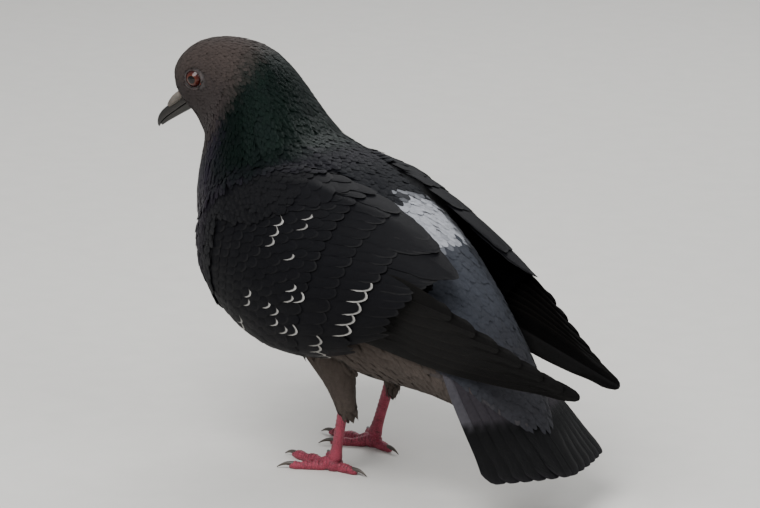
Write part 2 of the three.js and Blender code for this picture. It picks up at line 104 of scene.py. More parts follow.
def on_head(forward, up, out):
    """Points in the head's axes: forward along the bill, up through the crown, out to a side."""
    forward, up, out = np.broadcast_arrays(forward, up, out)
    x = BETWEEN_EYES[0] - forward * math.cos(BILL_PITCH) - up * math.sin(BILL_PITCH)
    z = BETWEEN_EYES[1] - forward * math.sin(BILL_PITCH) + up * math.cos(BILL_PITCH)
    return turned(np.stack([x, out, z], -1), HEAD_TURN)


def box_middle(node):
    low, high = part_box(node)
    return np.array((low + high) / 2)


eyes_middle = (box_middle("eye_left") + box_middle("eye_right")) / 2
ORIGIN = eyes_middle - on_head(0, 0, 0) * MM
print("the drawing's zero lies at", np.round(ORIGIN, 5).tolist(), "metres")

# %% A few helpers for numbers
rng = np.random.default_rng(7)


def smoothstep(value, low, high):
    share = np.clip((value - low) / (high - low), 0, 1)
    return share * share * (3 - 2 * share)


def unit(vectors):
    return vectors / np.maximum(np.linalg.norm(vectors, axis=-1, keepdims=True), 1e-9)


def through(rows, share):
    """A smooth curve through evenly spaced rows of numbers, at shares 0 to 1."""
    rows = np.array(rows, float)
    padded = np.vstack([rows[:1], rows, rows[-1:]])
    place = np.clip(np.asarray(share) * (len(rows) - 1), 0, len(rows) - 1 - 1e-9)
    i = place.astype(int)
    u = (place - i)[..., None]
    p0, p1, p2, p3 = (padded[i + k] for k in range(4))
    bend = (2 * p0 - 5 * p1 + 4 * p2 - p3) * u**2 + (3 * p1 - p0 - 3 * p2 + p3) * u**3
    return (2 * p1 + (p2 - p0) * u + bend) / 2


# %% From points to a piece of the bird
def make_piece(name, points_mm, faces, material):
    """A mesh from points in the drawing's millimetres, that rides on the bird's one body."""
    mesh = bpy.data.meshes.new(name)
    points = np.asarray(points_mm, float) * MM + ORIGIN
    faces = np.asarray(faces)
    sides = faces.shape[1]
    mesh.vertices.add(len(points))
    mesh.vertices.foreach_set("co", points.ravel())
    mesh.loops.add(faces.size)
    mesh.loops.foreach_set("vertex_index", faces.ravel())
    mesh.polygons.add(len(faces))
    mesh.polygons.foreach_set("loop_start", np.arange(0, faces.size, sides))
    mesh.update(calc_edges=True)
    mesh.validate()
    mesh.polygons.foreach_set("use_smooth", np.ones(len(mesh.polygons), bool))
    mesh.materials.append(material)
    piece = bpy.data.objects.new(name, mesh)
    bpy.context.scene.collection.objects.link(piece)
    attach(piece, "root")
    return piece


def add_number(mesh, name, values):
    layer = mesh.attributes.new(name, "FLOAT", "POINT")
    layer.data.foreach_set("value", np.asarray(values, float).ravel())


def add_colour(mesh, name, colours):
    layer = mesh.attributes.new(name, "FLOAT_COLOR", "POINT")
    rgba = np.ones((len(colours), 4))
    rgba[:, :3] = colours
    layer.data.foreach_set("color", rgba.ravel())


def add_uv(mesh, name, by_vertex):
    layer = mesh.uv_layers.new(name=name)
    index = np.zeros(len(mesh.loops), int)
    mesh.loops.foreach_get("vertex_index", index)
    layer.data.foreach_set("uv", np.asarray(by_vertex, float)[index].ravel())


# %% [markdown]
# ## Colours and materials
#
# Plumage is keratin, like horn, split into barbs about a third to half a millimetre apart that
# run slantwise from each shaft. That gives the eye a soft, slightly silky surface. The finish
# darkens the colour between the barbs as painted shade. An image could hold it, but it would be
# one size only. Here the barbs are a sine wave in the finish, measured in millimetres on each
# feather, so they stay true at any distance. The colour of a feather comes from its place on
# the bird. It rides on the mesh as an attribute named `plumage`, so that one finish serves
# feathers of many colours.

# %% Colour from hex, and one small function for nodes
def linear(hex_code):
    """A colour written as sRGB hex, turned to the linear light that a shader works in."""
    parts = np.array([int(hex_code[i : i + 2], 16) / 255 for i in (1, 3, 5)])
    return np.where(parts <= 0.04045, parts / 12.92, ((parts + 0.055) / 1.055) ** 2.4)


def rgba(hex_code):
    return (*linear(hex_code), 1)


def plug(tree, made, inputs):
    """Fills a node's inputs, each with a constant or with another node's output."""
    for key, value in inputs.items():
        if isinstance(value, bpy.types.NodeSocket):
            tree.links.new(value, made.inputs[key])
        else:
            made.inputs[key].default_value = value


def node(tree, kind, inputs=(), stops=(), **settings):
    """Adds a node and fills its inputs. stops are places and hex colours along a ramp."""
    made = tree.nodes.new("ShaderNode" + kind)
    for key, value in settings.items():
        setattr(made, key, value)
    plug(tree, made, dict(inputs))
    for at, colour in stops[1:-1]:
        made.color_ramp.elements.new(at).color = rgba(colour)
    for end in (0, -1) if stops else ():
        made.color_ramp.elements[end].position = stops[end][0]
        made.color_ramp.elements[end].color = rgba(stops[end][1])
    return made


def new_material(name):
    material = bpy.data.materials.new(name)
    material.use_nodes = True
    tree = material.node_tree
    shader = tree.nodes["Principled BSDF"]
    return material, tree, shader


# %% The pattern of the barbs
KERATIN_IOR = 1.55
BARB_SLANT = 0.9  # mm towards the root for each mm off the shaft
BARB_WANDER = 0.7  # mm by which the barbs stray from straight
PATCH_PER_MM = 0.4  # how many soft patches of wear lie in a millimetre
# Painted shade between the barbs and a little painted light on them, as factors of the colour.
BARB_PAINTED_SHADE = (0.86, 1.06)  # between the barbs and on them
WEAR_SHADE = (0.86, 1.12)
WORN_EDGE = "#a3a19d"
WORN_RIM = (1.7, 0.7)  # mm from the tip's edge where a pale rim starts and is full


def barb_pattern(tree, barb_mm):
    """The height of the barbs, from -1 to 1, and soft patches, on a feather's own millimetres."""
    place = node(tree, "UVMap", uv_map="Vane").outputs["UV"]
    split = node(tree, "SeparateXYZ", {"Vector": place})
    off_shaft = node(tree, "Math", {0: split.outputs["X"]}, operation="ABSOLUTE")
    slant = node(
        tree, "Math", {0: off_shaft.outputs[0], 1: -BARB_SLANT, 2: split.outputs["Y"]},
        operation="MULTIPLY_ADD",
    )
    patches = node(tree, "TexNoise", {"Vector": place, "Scale": PATCH_PER_MM, "Detail": 2})
    wander = node(
        tree, "Math", {0: patches.outputs["Fac"], 1: BARB_WANDER, 2: slant.outputs[0]},
        operation="MULTIPLY_ADD",
    )
    phase = node(
        tree, "Math", {0: wander.outputs[0], 1: 2 * math.pi / barb_mm}, operation="MULTIPLY"
    )
    barbs = node(tree, "Math", {0: phase.outputs[0]}, operation="SINE")
    return barbs.outputs[0], patches.outputs["Fac"]


# %% The colour of a feather
def feather_colour(tree, barbs, patches):
    """The feather's own colour, a pale rim where it is worn, and painted shade between the barbs."""
    told = {
        name: node(tree, "Attribute", attribute_name=name)
        for name in ("plumage", "tone", "pale", "inward")
    }
    # The barbs' height darkens the colour between them as painted shade, and lightens it a little on
    # them as painted light.
    painted_shade = node(
        tree, "MapRange", {"Value": barbs, "From Min": -1, "From Max": 1,
                           "To Min": BARB_PAINTED_SHADE[0], "To Max": BARB_PAINTED_SHADE[1]},
    )
    mottle = node(
        tree, "MapRange", {"Value": patches, "From Min": 0.3, "From Max": 0.7,
                           "To Min": WEAR_SHADE[0], "To Max": WEAR_SHADE[1]},
    )
    both = node(tree, "Math", {0: painted_shade.outputs[0], 1: mottle.outputs[0]}, operation="MULTIPLY")
    toned = node(
        tree, "Math", {0: both.outputs[0], 1: told["tone"].outputs["Fac"]}, operation="MULTIPLY"
    )
    edge = node(
        tree, "MapRange", {"Value": told["inward"].outputs["Fac"], "From Min": WORN_RIM[0],
                           "From Max": WORN_RIM[1], "To Min": 0, "To Max": 1},
        interpolation_type="SMOOTHSTEP",
    )
    worn = node(
        tree, "Math", {0: edge.outputs[0], 1: told["pale"].outputs["Fac"]}, operation="MULTIPLY"
    )
    edged = node(
        tree, "Mix", {"Factor": worn.outputs[0], "A": told["plumage"].outputs["Color"],
                      "B": rgba(WORN_EDGE)}, data_type="RGBA",
    )
    painted = node(
        tree, "VectorMath", {0: edged.outputs["Result"], "Scale": toned.outputs[0]},
        operation="SCALE",
    )
    return painted.outputs[0]


# %% The finish of a feather
BARB_DEPTH = 0.00012  # metres
SHINE = 0.62  # a fully glossy place has this share of the matt roughness
METAL_LOOK = 0.75  # the gloss of neck feathers comes from thin layers that tint what they throw back


def feather_finish(name, barb_mm, matt, sheen, relief):
    """Keratin vanes: barbs in the bump and the colour, and a gloss where the plumage shines."""
    material, tree, shader = new_material(name)
    barbs, patches = barb_pattern(tree, barb_mm)
    gloss = node(tree, "Attribute", attribute_name="gloss").outputs["Fac"]
    rough = node(tree, "MapRange", {"Value": gloss, "To Min": matt, "To Max": matt * SHINE})
    metal = node(tree, "Math", {0: gloss, 1: METAL_LOOK}, operation="MULTIPLY")
    bump = node(tree, "Bump", {"Height": barbs, "Strength": relief, "Distance": BARB_DEPTH})
    plug(tree, shader, {
        "Base Color": feather_colour(tree, barbs, patches), "Roughness": rough.outputs[0],
        "Metallic": metal.outputs[0], "Normal": bump.outputs[0], "IOR": KERATIN_IOR,
        "Specular IOR Level": 0.1,  # the barbs hide most of the gloss
        "Sheen Weight": sheen, "Sheen Roughness": 0.45,
    })
    return material


# The numbers are the barbs' spacing in mm, roughness, sheen and relief. Down is matt and stands
# up, so it has some sheen and deep relief; close coverts are smooth; stiff quills show each barb.
HEAD_FINISH = feather_finish("keratin_feather_head_short_downy", 0.35, 0.7, 0.03, 0.4)
NECK_FINISH = feather_finish("keratin_feather_neck_glossy", 0.4, 0.58, 0.0, 0.3)
BODY_FINISH = feather_finish("keratin_feather_body_loose", 0.5, 0.75, 0.03, 0.5)
WING_FINISH = feather_finish("keratin_feather_wing_covert_smooth", 0.5, 0.62, 0.0, 0.22)
FLIGHT_FINISH = feather_finish("keratin_feather_flight_stiff", 0.6, 0.55, 0.0, 0.6)
TAIL_FINISH = feather_finish("keratin_feather_tail_stiff", 0.6, 0.56, 0.0, 0.6)
LEG_FINISH = feather_finish("keratin_feather_thigh_downy", 0.45, 0.8, 0.04, 0.4)
print("feather finishes:", len(bpy.data.materials))

# %% [markdown]
# ## A line through the bird
#
# Feathers all point away from the bill. Their directions could be combed by hand, as hair is,
# but a bird's follow one rule: they run along the body from head to tail. So a line through
# the middle of the bird, from the forehead to the end of the tail coverts, gives each of them
# its direction. It also gives each place two numbers: how far along the line it is, and at
# what angle round it.

# %% The middle line, with the lean of a slice across it at each place
MIDDLE_LINE = [  # place, x, z and how many degrees the slice leans back
    ("forehead", -84, 168, -25),
    ("eyes", -74, 172, 2),
    ("hind crown", -60, 166.5, 26),
    ("nape", -55, 160, 36),
    ("low neck", -46, 142, 50),
    ("shoulders", -39, 130, 54),
    ("breast", -7, 108, 53),
    ("belly", 37, 84, 51),
    ("vent", 83, 67, 50),
    ("covert end", 130, 41, 50),
]
SAMPLES = 260
ROUNDING = 13  # samples to each side over which the line's corners are rounded
TURN_ENDS = 74  # mm along the line from the forehead, where the head's turn has run out
TURN_STARTS = 13
AWAY_COUNTS = 0.15  # how much being far off counts against being off a slice

rows = np.array([row[1:] for row in MIDDLE_LINE], float)
steps = np.hypot(*np.diff(rows[:, :2], axis=0).T)
at_rows = np.concatenate([[0], np.cumsum(steps)])
LENGTH = at_rows[-1]
along = np.linspace(0, LENGTH, SAMPLES)
raw = np.stack([np.interp(along, at_rows, rows[:, k]) for k in range(3)], -1)
window = np.hanning(2 * ROUNDING + 1)
padded = np.pad(raw, ((ROUNDING, ROUNDING), (0, 0)), mode="reflect", reflect_type="odd")
line = np.stack([np.convolve(padded[:, k], window / window.sum(), "valid") for k in range(3)], -1)
turn = HEAD_TURN * smoothstep(TURN_ENDS - along, 0, TURN_ENDS - TURN_STARTS)
lean = np.radians(line[:, 2])
nought = np.zeros(SAMPLES)


def turned_way(ways):
    return turned(ways + [TURN_AXIS_X, 0, 0], turn) - [TURN_AXIS_X, 0, 0]


LINE_POINT = turned(np.stack([line[:, 0], nought, line[:, 1]], -1), turn)
LINE_UP = turned_way(np.stack([np.sin(lean), nought, np.cos(lean)], -1))
LINE_SIDE = turned_way(np.stack([nought, nought + 1, nought], -1))
LINE_WAY = unit(np.gradient(LINE_POINT, axis=0))
SLICE = np.cross(LINE_SIDE, LINE_UP)


# %% Which place of the line a point belongs to
def on_line(points):
    """For each point: the sample of the line whose slice it is in, and its angle round it."""
    picks = []
    for part in np.array_split(points, max(1, len(points) // 4000)):
        away = part[:, None, :] - LINE_POINT[None]
        off_slice = np.abs((away * SLICE[None]).sum(-1))
        picks.append((off_slice + AWAY_COUNTS * np.linalg.norm(away, axis=-1)).argmin(1))
    pick = np.concatenate(picks)
    away = points - LINE_POINT[pick]
    across = (away * LINE_SIDE[pick]).sum(-1)
    upward = (away * LINE_UP[pick]).sum(-1)
    return pick, np.arctan2(across, upward)


def unwrap(points):
    """The skin laid out flat: the angle round the line against the length along it.

    A hundredth of the map stays free along each edge, for the patches' own width.
    """
    pick, angle = on_line(points)
    spread = 0.5 + angle / (2 * math.pi) * 0.98
    return np.stack([spread, 0.01 + 0.97 * along[pick] / LENGTH], -1)


print("the line is", round(LENGTH), "mm long")

# %% [markdown]
# ## Markings
#
# A feral pigeon of the dark form has a slate head, a neck with a green gloss that turns purple
# towards the breast, black wings and mantle, a white patch on the lower back that runs into a
# blue-grey rump, a brown-grey belly, and a tail with a black band. They could be painted on
# the mesh, but then a feather and the skin under it would have to be painted alike. One
# function of the place does for both: each marking is a soft-edged zone along the middle line
# or on the back, and the next one is laid over it.

# %% The colours of the plumage
SLATE = linear("#322c2b")
CROWN = linear("#3d3532")
GREEN_BLACK = linear("#05130e")
DEEP_GREEN = linear("#050c0d")
PURPLE = linear("#1e1727")
BLUE_BLACK = linear("#090b11")
WING_BLACK = linear("#07070b")
# The patch's feathers are white; this is that white dimmed to grey, as painted shade.
SHADED_WHITE = linear("#9fa1a7")
RUMP_GREY = linear("#363940")
COVERT_GREY = linear("#29292d")
BELLY_BROWN = linear("#4a423d")

# %% Where each marking starts and is full
NECK_STARTS = (26, 42)  # mm along the line
BREAST_STARTS = (58, 82)
MANTLE_STARTS = (72, 96)
BELLY_STARTS = (112, 165)
GLOSS_ENDS = (86, 112)
RUMP_STARTS = (58, 74)  # x
COVERTS_START = (96, 124)
CROWN_ABOVE = (0.2, 0.9)  # the cosine of the angle round the line, which is 1 straight up
GREEN_ABOVE = (-0.35, 0.45)
MANTLE_ABOVE = (0.1, 0.5)
RUMP_ABOVE = (0.05, 0.4)
PATCH_ABOVE = (0.35, 0.6)
PATCH_X, PATCH_LONG, PATCH_WIDE = 62, 16, 24  # the white patch on the lower back, in mm
PATCH_RIM = (0.75, 1.15)  # where it fades, as a share of its size
NECK_GLOSS, MANTLE_GLOSS, WING_GLOSS = 0.75, 0.16, 0.12


# %% The colour and the gloss of a place
def blend(low, high, share):
    share = np.asarray(share)[..., None]
    return low * (1 - share) + high * share


def markings(points, on_wing):
    """The colour and the gloss at each point, from its place along and round the line."""
    pick, angle = on_line(points)
    far = along[pick]
    back = np.cos(angle)
    x, y, z = points.T
    patchy = 0.5 + 0.5 * np.sin(x * 0.31 + 1.7 * np.sin(z * 0.27)) * np.cos(y * 0.35 + z * 0.11)
    above = smoothstep(back, *MANTLE_ABOVE)
    neck = smoothstep(far + 6 * back, *NECK_STARTS)
    neck_colour = blend(PURPLE, GREEN_BLACK, smoothstep(back + 0.3 * patchy, *GREEN_ABOVE))
    neck_colour = blend(neck_colour, DEEP_GREEN, 0.5 * patchy)
    breast = smoothstep(far - 14 * back, *BREAST_STARTS)
    mantle = smoothstep(far, *MANTLE_STARTS) * above
    belly = smoothstep(far - 30 * back, *BELLY_STARTS) * (1 - above)
    rump = smoothstep(x, *RUMP_STARTS) * smoothstep(back, *RUMP_ABOVE)
    from_patch = ((x - PATCH_X - 3 * patchy) / PATCH_LONG) ** 2 + (y / PATCH_WIDE) ** 2
    white = 1 - smoothstep(np.sqrt(from_patch) + 0.25 * patchy, *PATCH_RIM)
    colour = blend(SLATE, CROWN, smoothstep(back, *CROWN_ABOVE))
    for zone_colour, share in (
        (neck_colour, neck), (blend(PURPLE, BELLY_BROWN, 0.12), breast), (BLUE_BLACK, mantle),
        (BELLY_BROWN, belly), (RUMP_GREY, rump),
        (COVERT_GREY, rump * smoothstep(x, *COVERTS_START)),
        (SHADED_WHITE, white * smoothstep(back, *PATCH_ABOVE)), (WING_BLACK, on_wing),
    ):
        colour = blend(colour, zone_colour, share)
    gloss = neck * (1 - smoothstep(far, *GLOSS_ENDS)) * NECK_GLOSS
    gloss = np.maximum(gloss, MANTLE_GLOSS * mantle) * (1 - on_wing) + WING_GLOSS * on_wing
    return colour, gloss * (1 - rump)


for place_name, place in (("crown", (-62, 0, 190)), ("lower back", (62, 0, 128))):
    print(place_name, np.round(markings(np.array([place], float), 0.0)[0][0], 3).tolist())

# %% [markdown]
# ## The skin
#
# Under the coat the real bird has one unbroken skin, but the flesh came as separate solids
# with fine gaps between them. They could be joined one pair at a time with booleans, which
# leave hard seams. Instead, copies of them, grown by less than half a millimetre so that the
# gaps close, are remeshed into one surface with even faces and smoothed. That surface is then
# drawn in by the depth of the coat, which is least on the face and most on the belly, so that
# the feathers end where the solids do. A folded wing has flesh in its front half alone:
# behind the elbow it is quills, so the copies of the wings are cut off there.

# %% Gather the solids of the flesh and remesh them into one
FLESH = ["head", "neck", "trunk", "wing_left", "wing_right", "thigh_left", "thigh_right"]
CLOSE_GAPS = 0.45
VOXEL = 1.15
SMOOTHING = 6
ARM_END = {"wing_left": 46, "wing_right": 46}  # x of the elbow


def node_mesh(name, grow=0.0, end=None):
    """A node's points in the drawing's millimetres and its triangles, grown by a margin."""
    solid = bmesh.new()
    solid.from_mesh(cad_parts[name].data)
    bmesh.ops.remove_doubles(solid, verts=solid.verts, dist=1e-6)
    if end is not None:
        cut = {"plane_co": ORIGIN + np.array([end, 0, 0]) * MM, "plane_no": (1, 0, 0)}
        whole = solid.verts[:] + solid.edges[:] + solid.faces[:]
        bmesh.ops.bisect_plane(solid, geom=whole, clear_outer=True, **cut)
        bmesh.ops.holes_fill(solid, edges=[edge for edge in solid.edges if edge.is_boundary])
    bmesh.ops.triangulate(solid, faces=solid.faces)
    solid.normal_update()
    points = np.array([v.co + v.normal * grow * MM for v in solid.verts])
    triangles = np.array([[v.index for v in face.verts] for face in solid.faces])
    solid.free()
    return (points - ORIGIN) / MM, triangles


# %% One even surface round several solids
def remeshed(name, parts, voxel, smoothing):
    """One even, closed surface round several solids, as points and quads."""
    points = np.vstack([part[0] for part in parts])
    starts = np.cumsum([0] + [len(part[0]) for part in parts[:-1]])
    faces = np.vstack([part[1] + start for part, start in zip(parts, starts)])
    mesh = bpy.data.meshes.new(name)
    mesh.from_pydata((points * MM).tolist(), [], faces.tolist())
    rough = bpy.data.objects.new(name, mesh)
    bpy.context.scene.collection.objects.link(rough)
    remesh = rough.modifiers.new("even", "REMESH")
    remesh.mode = "VOXEL"
    remesh.voxel_size = voxel * MM
    smooth = rough.modifiers.new("smooth", "SMOOTH")
    smooth.iterations = smoothing
    graph = bpy.context.evaluated_depsgraph_get()
    even = bpy.data.meshes.new_from_object(rough.evaluated_get(graph))
    bpy.data.objects.remove(rough)
    points = np.array([v.co for v in even.vertices]) / MM
    quads = np.array([list(face.vertices) for face in even.polygons])
    normals = np.array([v.normal for v in even.vertices])
    bpy.data.meshes.remove(even)
    return points, quads, normals


def triangles_of(quads):
    return np.vstack([quads[:, [0, 1, 2]], quads[:, [0, 2, 3]]])


outer, skin_quads, outer_normal = remeshed(
    "flesh", [node_mesh(name, CLOSE_GAPS, ARM_END.get(name)) for name in FLESH], VOXEL,
    SMOOTHING,
)
skin_triangles = triangles_of(skin_quads)
print("the skin has", len(skin_quads), "faces")

# %% Which part of the bird each point of the skin belongs to
NEAR = 1.3  # mm


def near_nodes(points, names, near=NEAR):
    """1 where a point is on one of these solids, 0 where it is on another."""
    parts = [node_mesh(name, 0, ARM_END.get(name)) for name in names]
    trees = [BVHTree.FromPolygons(p.tolist(), t.tolist()) for p, t in parts]
    found = np.zeros(len(points))
    for i, point in enumerate(points):
        found[i] = any(tree.find_nearest(point, near)[0] is not None for tree in trees)
    return found


on_wing = near_nodes(outer, ["wing_left", "wing_right"])
on_thigh = near_nodes(outer, ["thigh_left", "thigh_right"])
skin_pick, skin_angle = on_line(outer)
skin_far = along[skin_pick]

# %% Draw the skin in by the depth of the coat
COAT_DEPTH = [(0, 0.7), (12, 1.0), (30, 1.5), (60, 2.2), (110, 2.8), (220, 2.6), (LENGTH, 1.6)]
WING_DEPTH = 1.9
THIGH_DEPTH = 1.6
WALL_SHARE = 0.38  # thin parts keep flesh: the skin goes in by no more than this share of them
THICKEST_WALL = 12  # mm that are looked through

depth = np.interp(skin_far, *np.array(COAT_DEPTH).T)
depth = np.where(on_wing > 0, WING_DEPTH, depth)
depth = np.where(on_thigh > 0, THIGH_DEPTH, depth)
outer_tree = BVHTree.FromPolygons(outer.tolist(), skin_quads.tolist())
for i in range(len(outer)):
    start = Vector(outer[i] - 0.05 * outer_normal[i])
    through_wall = outer_tree.ray_cast(start, Vector(-outer_normal[i]), THICKEST_WALL)[3]
    if through_wall is not None:
        depth[i] = min(depth[i], WALL_SHARE * through_wall)
skin = outer - outer_normal * depth[:, None]
print("the skin lies", round(depth.min(), 2), "to", round(depth.max(), 2), "mm deep")

# %% A surface to lay feathers on
skin_tree = BVHTree.FromPolygons(skin.tolist(), skin_triangles.tolist())


def lay_on_skin(points):
    """The nearest place on the skin for each point, its normal there, and the distance."""
    places = np.empty_like(points)
    normals = np.empty_like(points)
    distances = np.empty(len(points))
    for i, point in enumerate(points):
        place, _, face, distance = skin_tree.find_nearest(point)
        places[i] = place
        normals[i] = outer_normal[skin_triangles[face]].sum(0)
        distances[i] = distance
    return places, unit(normals), distances


def at_skin(points, values):
    """A value kept for each corner of the skin, read at the skin nearest to each point."""
    faces = [skin_tree.find_nearest(point)[2] for point in points]
    return values[skin_triangles[faces]].mean(1)


# %% The skin as a piece, with the markings of the coat over it
FOLLICLE_GAP = 2.0  # mm from one pit to the next


def skin_finish():
    """Bare skin and down between the feathers: matt, with the fine grain of follicles. It wears the
    coat's colour darkened as painted shade, most in the follicle pits.
    """
    material, tree, shader = new_material("skin_under_down_matt")
    colour = node(tree, "Attribute", attribute_name="plumage").outputs["Color"]
    place = node(tree, "TexCoord").outputs["Object"]
    follicles = node(tree, "TexVoronoi", {"Vector": place, "Scale": 1 / (FOLLICLE_GAP * MM)})
    depth_in = follicles.outputs["Distance"]
    # Painted shade: the coat's colour falls to 0.6 of itself in each follicle pit and to 0.9 between
    # them.
    painted_shade = node(tree, "MapRange", {"Value": depth_in, "To Min": 0.6, "To Max": 0.9})
    painted = node(tree, "VectorMath", {0: colour, "Scale": painted_shade.outputs[0]}, operation="SCALE")
    bump = node(tree, "Bump", {"Height": depth_in, "Strength": 0.6, "Distance": 0.0003})
    plug(tree, shader, {
        "Base Color": painted.outputs[0], "Normal": bump.outputs[0], "Roughness": 0.9,
        "Sheen Weight": 0.2,
    })
    return material


skin_piece = make_piece("skin", skin, skin_quads, skin_finish())
skin_colour, _ = markings(outer, on_wing)
add_colour(skin_piece.data, "plumage", skin_colour)
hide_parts(*FLESH)

# %% [markdown]
# ## One feather
#
# A feather is a vane on a shaft: a thin shell, a little arched across. Its outline starts
# narrow at the root, widens, and ends in a rounded tip. Hair strands or copies of one card
# would be quicker to make, but a card is stiff and cuts through a curved body. Here each vane
# is a small closed mesh that is walked over the skin from its root, so that it bends with the
# body, and it rises evenly towards its tip. Since all rise alike, each lies on the one behind
# it and none cuts through another.

# %% The lattice of a vane: points over its upper face, and the faces of the closed shell
def vane_faces(rows, columns):
    """Quads over the top, and back under it through the inner points of the underside."""
    top = np.arange(rows * columns).reshape(rows, columns)
    under = top.copy()
    inner = (rows - 2) * (columns - 2)
    under[1:-1, 1:-1] = rows * columns + np.arange(inner).reshape(rows - 2, columns - 2)

    def quads(grid):
        return np.stack([grid[:-1, :-1], grid[:-1, 1:], grid[1:, 1:], grid[1:, :-1]], -1)

    return np.vstack([quads(top).reshape(-1, 4), quads(under)[..., ::-1].reshape(-1, 4)])


# %% The outline of a vane
EVEN_COLUMNS = np.linspace(-1, 1, 5)
WIDE_COLUMNS = np.linspace(-1, 1, 7)
QUILL_COLUMNS = np.array([-1, -0.86, -0.6, -0.3, -0.07, 0, 0.07, 0.3, 0.6, 0.86, 1])
ROUND_TIP = {"root": 0.4, "widest": 0.55, "tip": 0.52, "arc": 0.14, "notch": 0.0}
NECK_TIP = {"root": 0.45, "widest": 0.5, "tip": 0.5, "arc": 0.15, "notch": 0.04}
BROAD_TIP = {"root": 0.45, "widest": 0.45, "tip": 0.66, "arc": 0.17, "notch": 0.0}
DOWNY_TIP = {"root": 0.35, "widest": 0.5, "tip": 0.44, "arc": 0.14, "notch": 0.02}


def outline(shape, share):
    """Half the width of a vane at a share of its length, as a share of its widest."""
    opening = shape["root"] + (1 - shape["root"]) * smoothstep(share, 0, shape["widest"])
    closing = 1 - (1 - shape["tip"]) * smoothstep(share, shape["widest"], 1)
    return opening * closing


def shell(top, normals, thick):
    """The points of closed shells: all of the top, then the inside of the underside."""
    inner = top[:, 1:-1, 1:-1] - normals[:, 1:-1, 1:-1] * thick
    count = len(top)
    return np.concatenate([top.reshape(count, -1, 3), inner.reshape(count, -1, 3)], 1)


def same_for_shell(values):
    """Numbers given on the top lattice, repeated for the underside's points."""
    count = len(values)
    tail = values.shape[3:]
    inner = values[:, 1:-1, 1:-1]
    return np.concatenate(
        [values.reshape(count, -1, *tail), inner.reshape(count, -1, *tail)], 1
    )


# %% Steps over the skin
CREASE = 0.2  # the least cosine of the turn by which a vane still climbs out of a crease
STRAIGHT = 0.75  # the least cosine of the turn from one row to the next on open skin
FLAT = 0.6  # and of the turn from the shaft to the edge of a vane


def lift(rise, share):
    """Height over the skin: it climbs from the root and is level again towards the tip."""
    return rise[0] + (rise[1] - rise[0]) * (1 - (1 - share) ** 2.3)


def along_skin(way, normal):
    """The part of a direction that lies along the skin."""
    return unit(way - (way * normal).sum(-1, keepdims=True) * normal)


def next_row(place, normal, way, stride):
    """One step over the skin. Where the skin drops away, the vane goes straight on."""
    ahead = place + way * stride[:, None]
    found, found_normal, distance = lay_on_skin(ahead)
    turns = (found_normal * normal).sum(-1)
    rises = (found_normal * way).sum(-1) < 0
    smooth = (turns > STRAIGHT) | (rises & (turns > CREASE))
    stays = ((distance < 0.3 * stride + 0.5) & smooth)[:, None]
    place = np.where(stays, found, ahead)
    normal = np.where(stays, found_normal, normal)
    return place, normal, along_skin(way, normal)


def off_shaft(flat, normal, width):
    """Places beside the shaft, on the skin unless it drops away there."""
    found, found_normal, distance = lay_on_skin(flat)
    turns = (found_normal * normal).sum(-1)
    stays = ((distance < 0.35 * width + 0.3) & (turns > FLAT))[:, None]
    return np.where(stays, found, flat), np.where(stays, found_normal, normal)


# %% Lay a batch of vanes over the skin
FRAY = 0.02  # how ragged the rim is, as a share of the length
LEAN = 0.015  # how much one side stands higher than the other, as a share of the width
NOTCH_WIDTH = 0.3  # of the dip at the tip, as a share of the half width


def laid_vanes(roots, ways, length, half, rise, shape, rows, columns, thick=0.1, arch=0.06):
    """Vanes that follow the skin. rise gives their height over it at the root and the tip."""
    count = len(roots)
    length = np.broadcast_to(length, count)
    half = np.broadcast_to(half, count)
    place, normal, _ = lay_on_skin(roots)
    way = along_skin(ways, normal)
    stride = length / (rows - 1)
    grid = np.zeros((count, rows, len(columns), 3))
    grid_normal = np.zeros_like(grid)
    lean_over = rng.normal(0, LEAN, count)
    ragged = rng.normal(0, 1, (count, rows, len(columns)))
    for r, share in enumerate(np.linspace(0, 1, rows)):
        if r > 0:
            place, normal, way = next_row(place, normal, way, stride)
        side = np.cross(normal, way)
        width = outline(shape, share) * half
        for c, column in enumerate(columns):
            edge = column**2
            back = shape["arc"] * edge * share**2
            back += shape["notch"] * math.exp(-((column / NOTCH_WIDTH) ** 2)) * share**4
            back = back + FRAY * ragged[:, r, c] * share * (edge > 0.9)
            flat = place + side * (column * width)[:, None] - way * (back * length)[:, None]
            on_shaft = column == 0
            found, facing = (flat, normal) if on_shaft else off_shaft(flat, normal, width)
            height = lift(rise, share) - arch * half * edge
            height = height + lean_over * column * half + 0.015 * ragged[:, r, c]
            grid[:, r, c] = found + facing * height[:, None]
            grid_normal[:, r, c] = facing
    return vane_batch(grid, grid_normal, length, half, shape, columns, thick)


# %% What a batch of vanes keeps for the piece that it joins
SIDES_DARK = 6  # mm added along the sides to the distance from the rim, so that they stay dark
SHOWN_SHARE = 0.75  # of the length: the place that gives a feather its colour


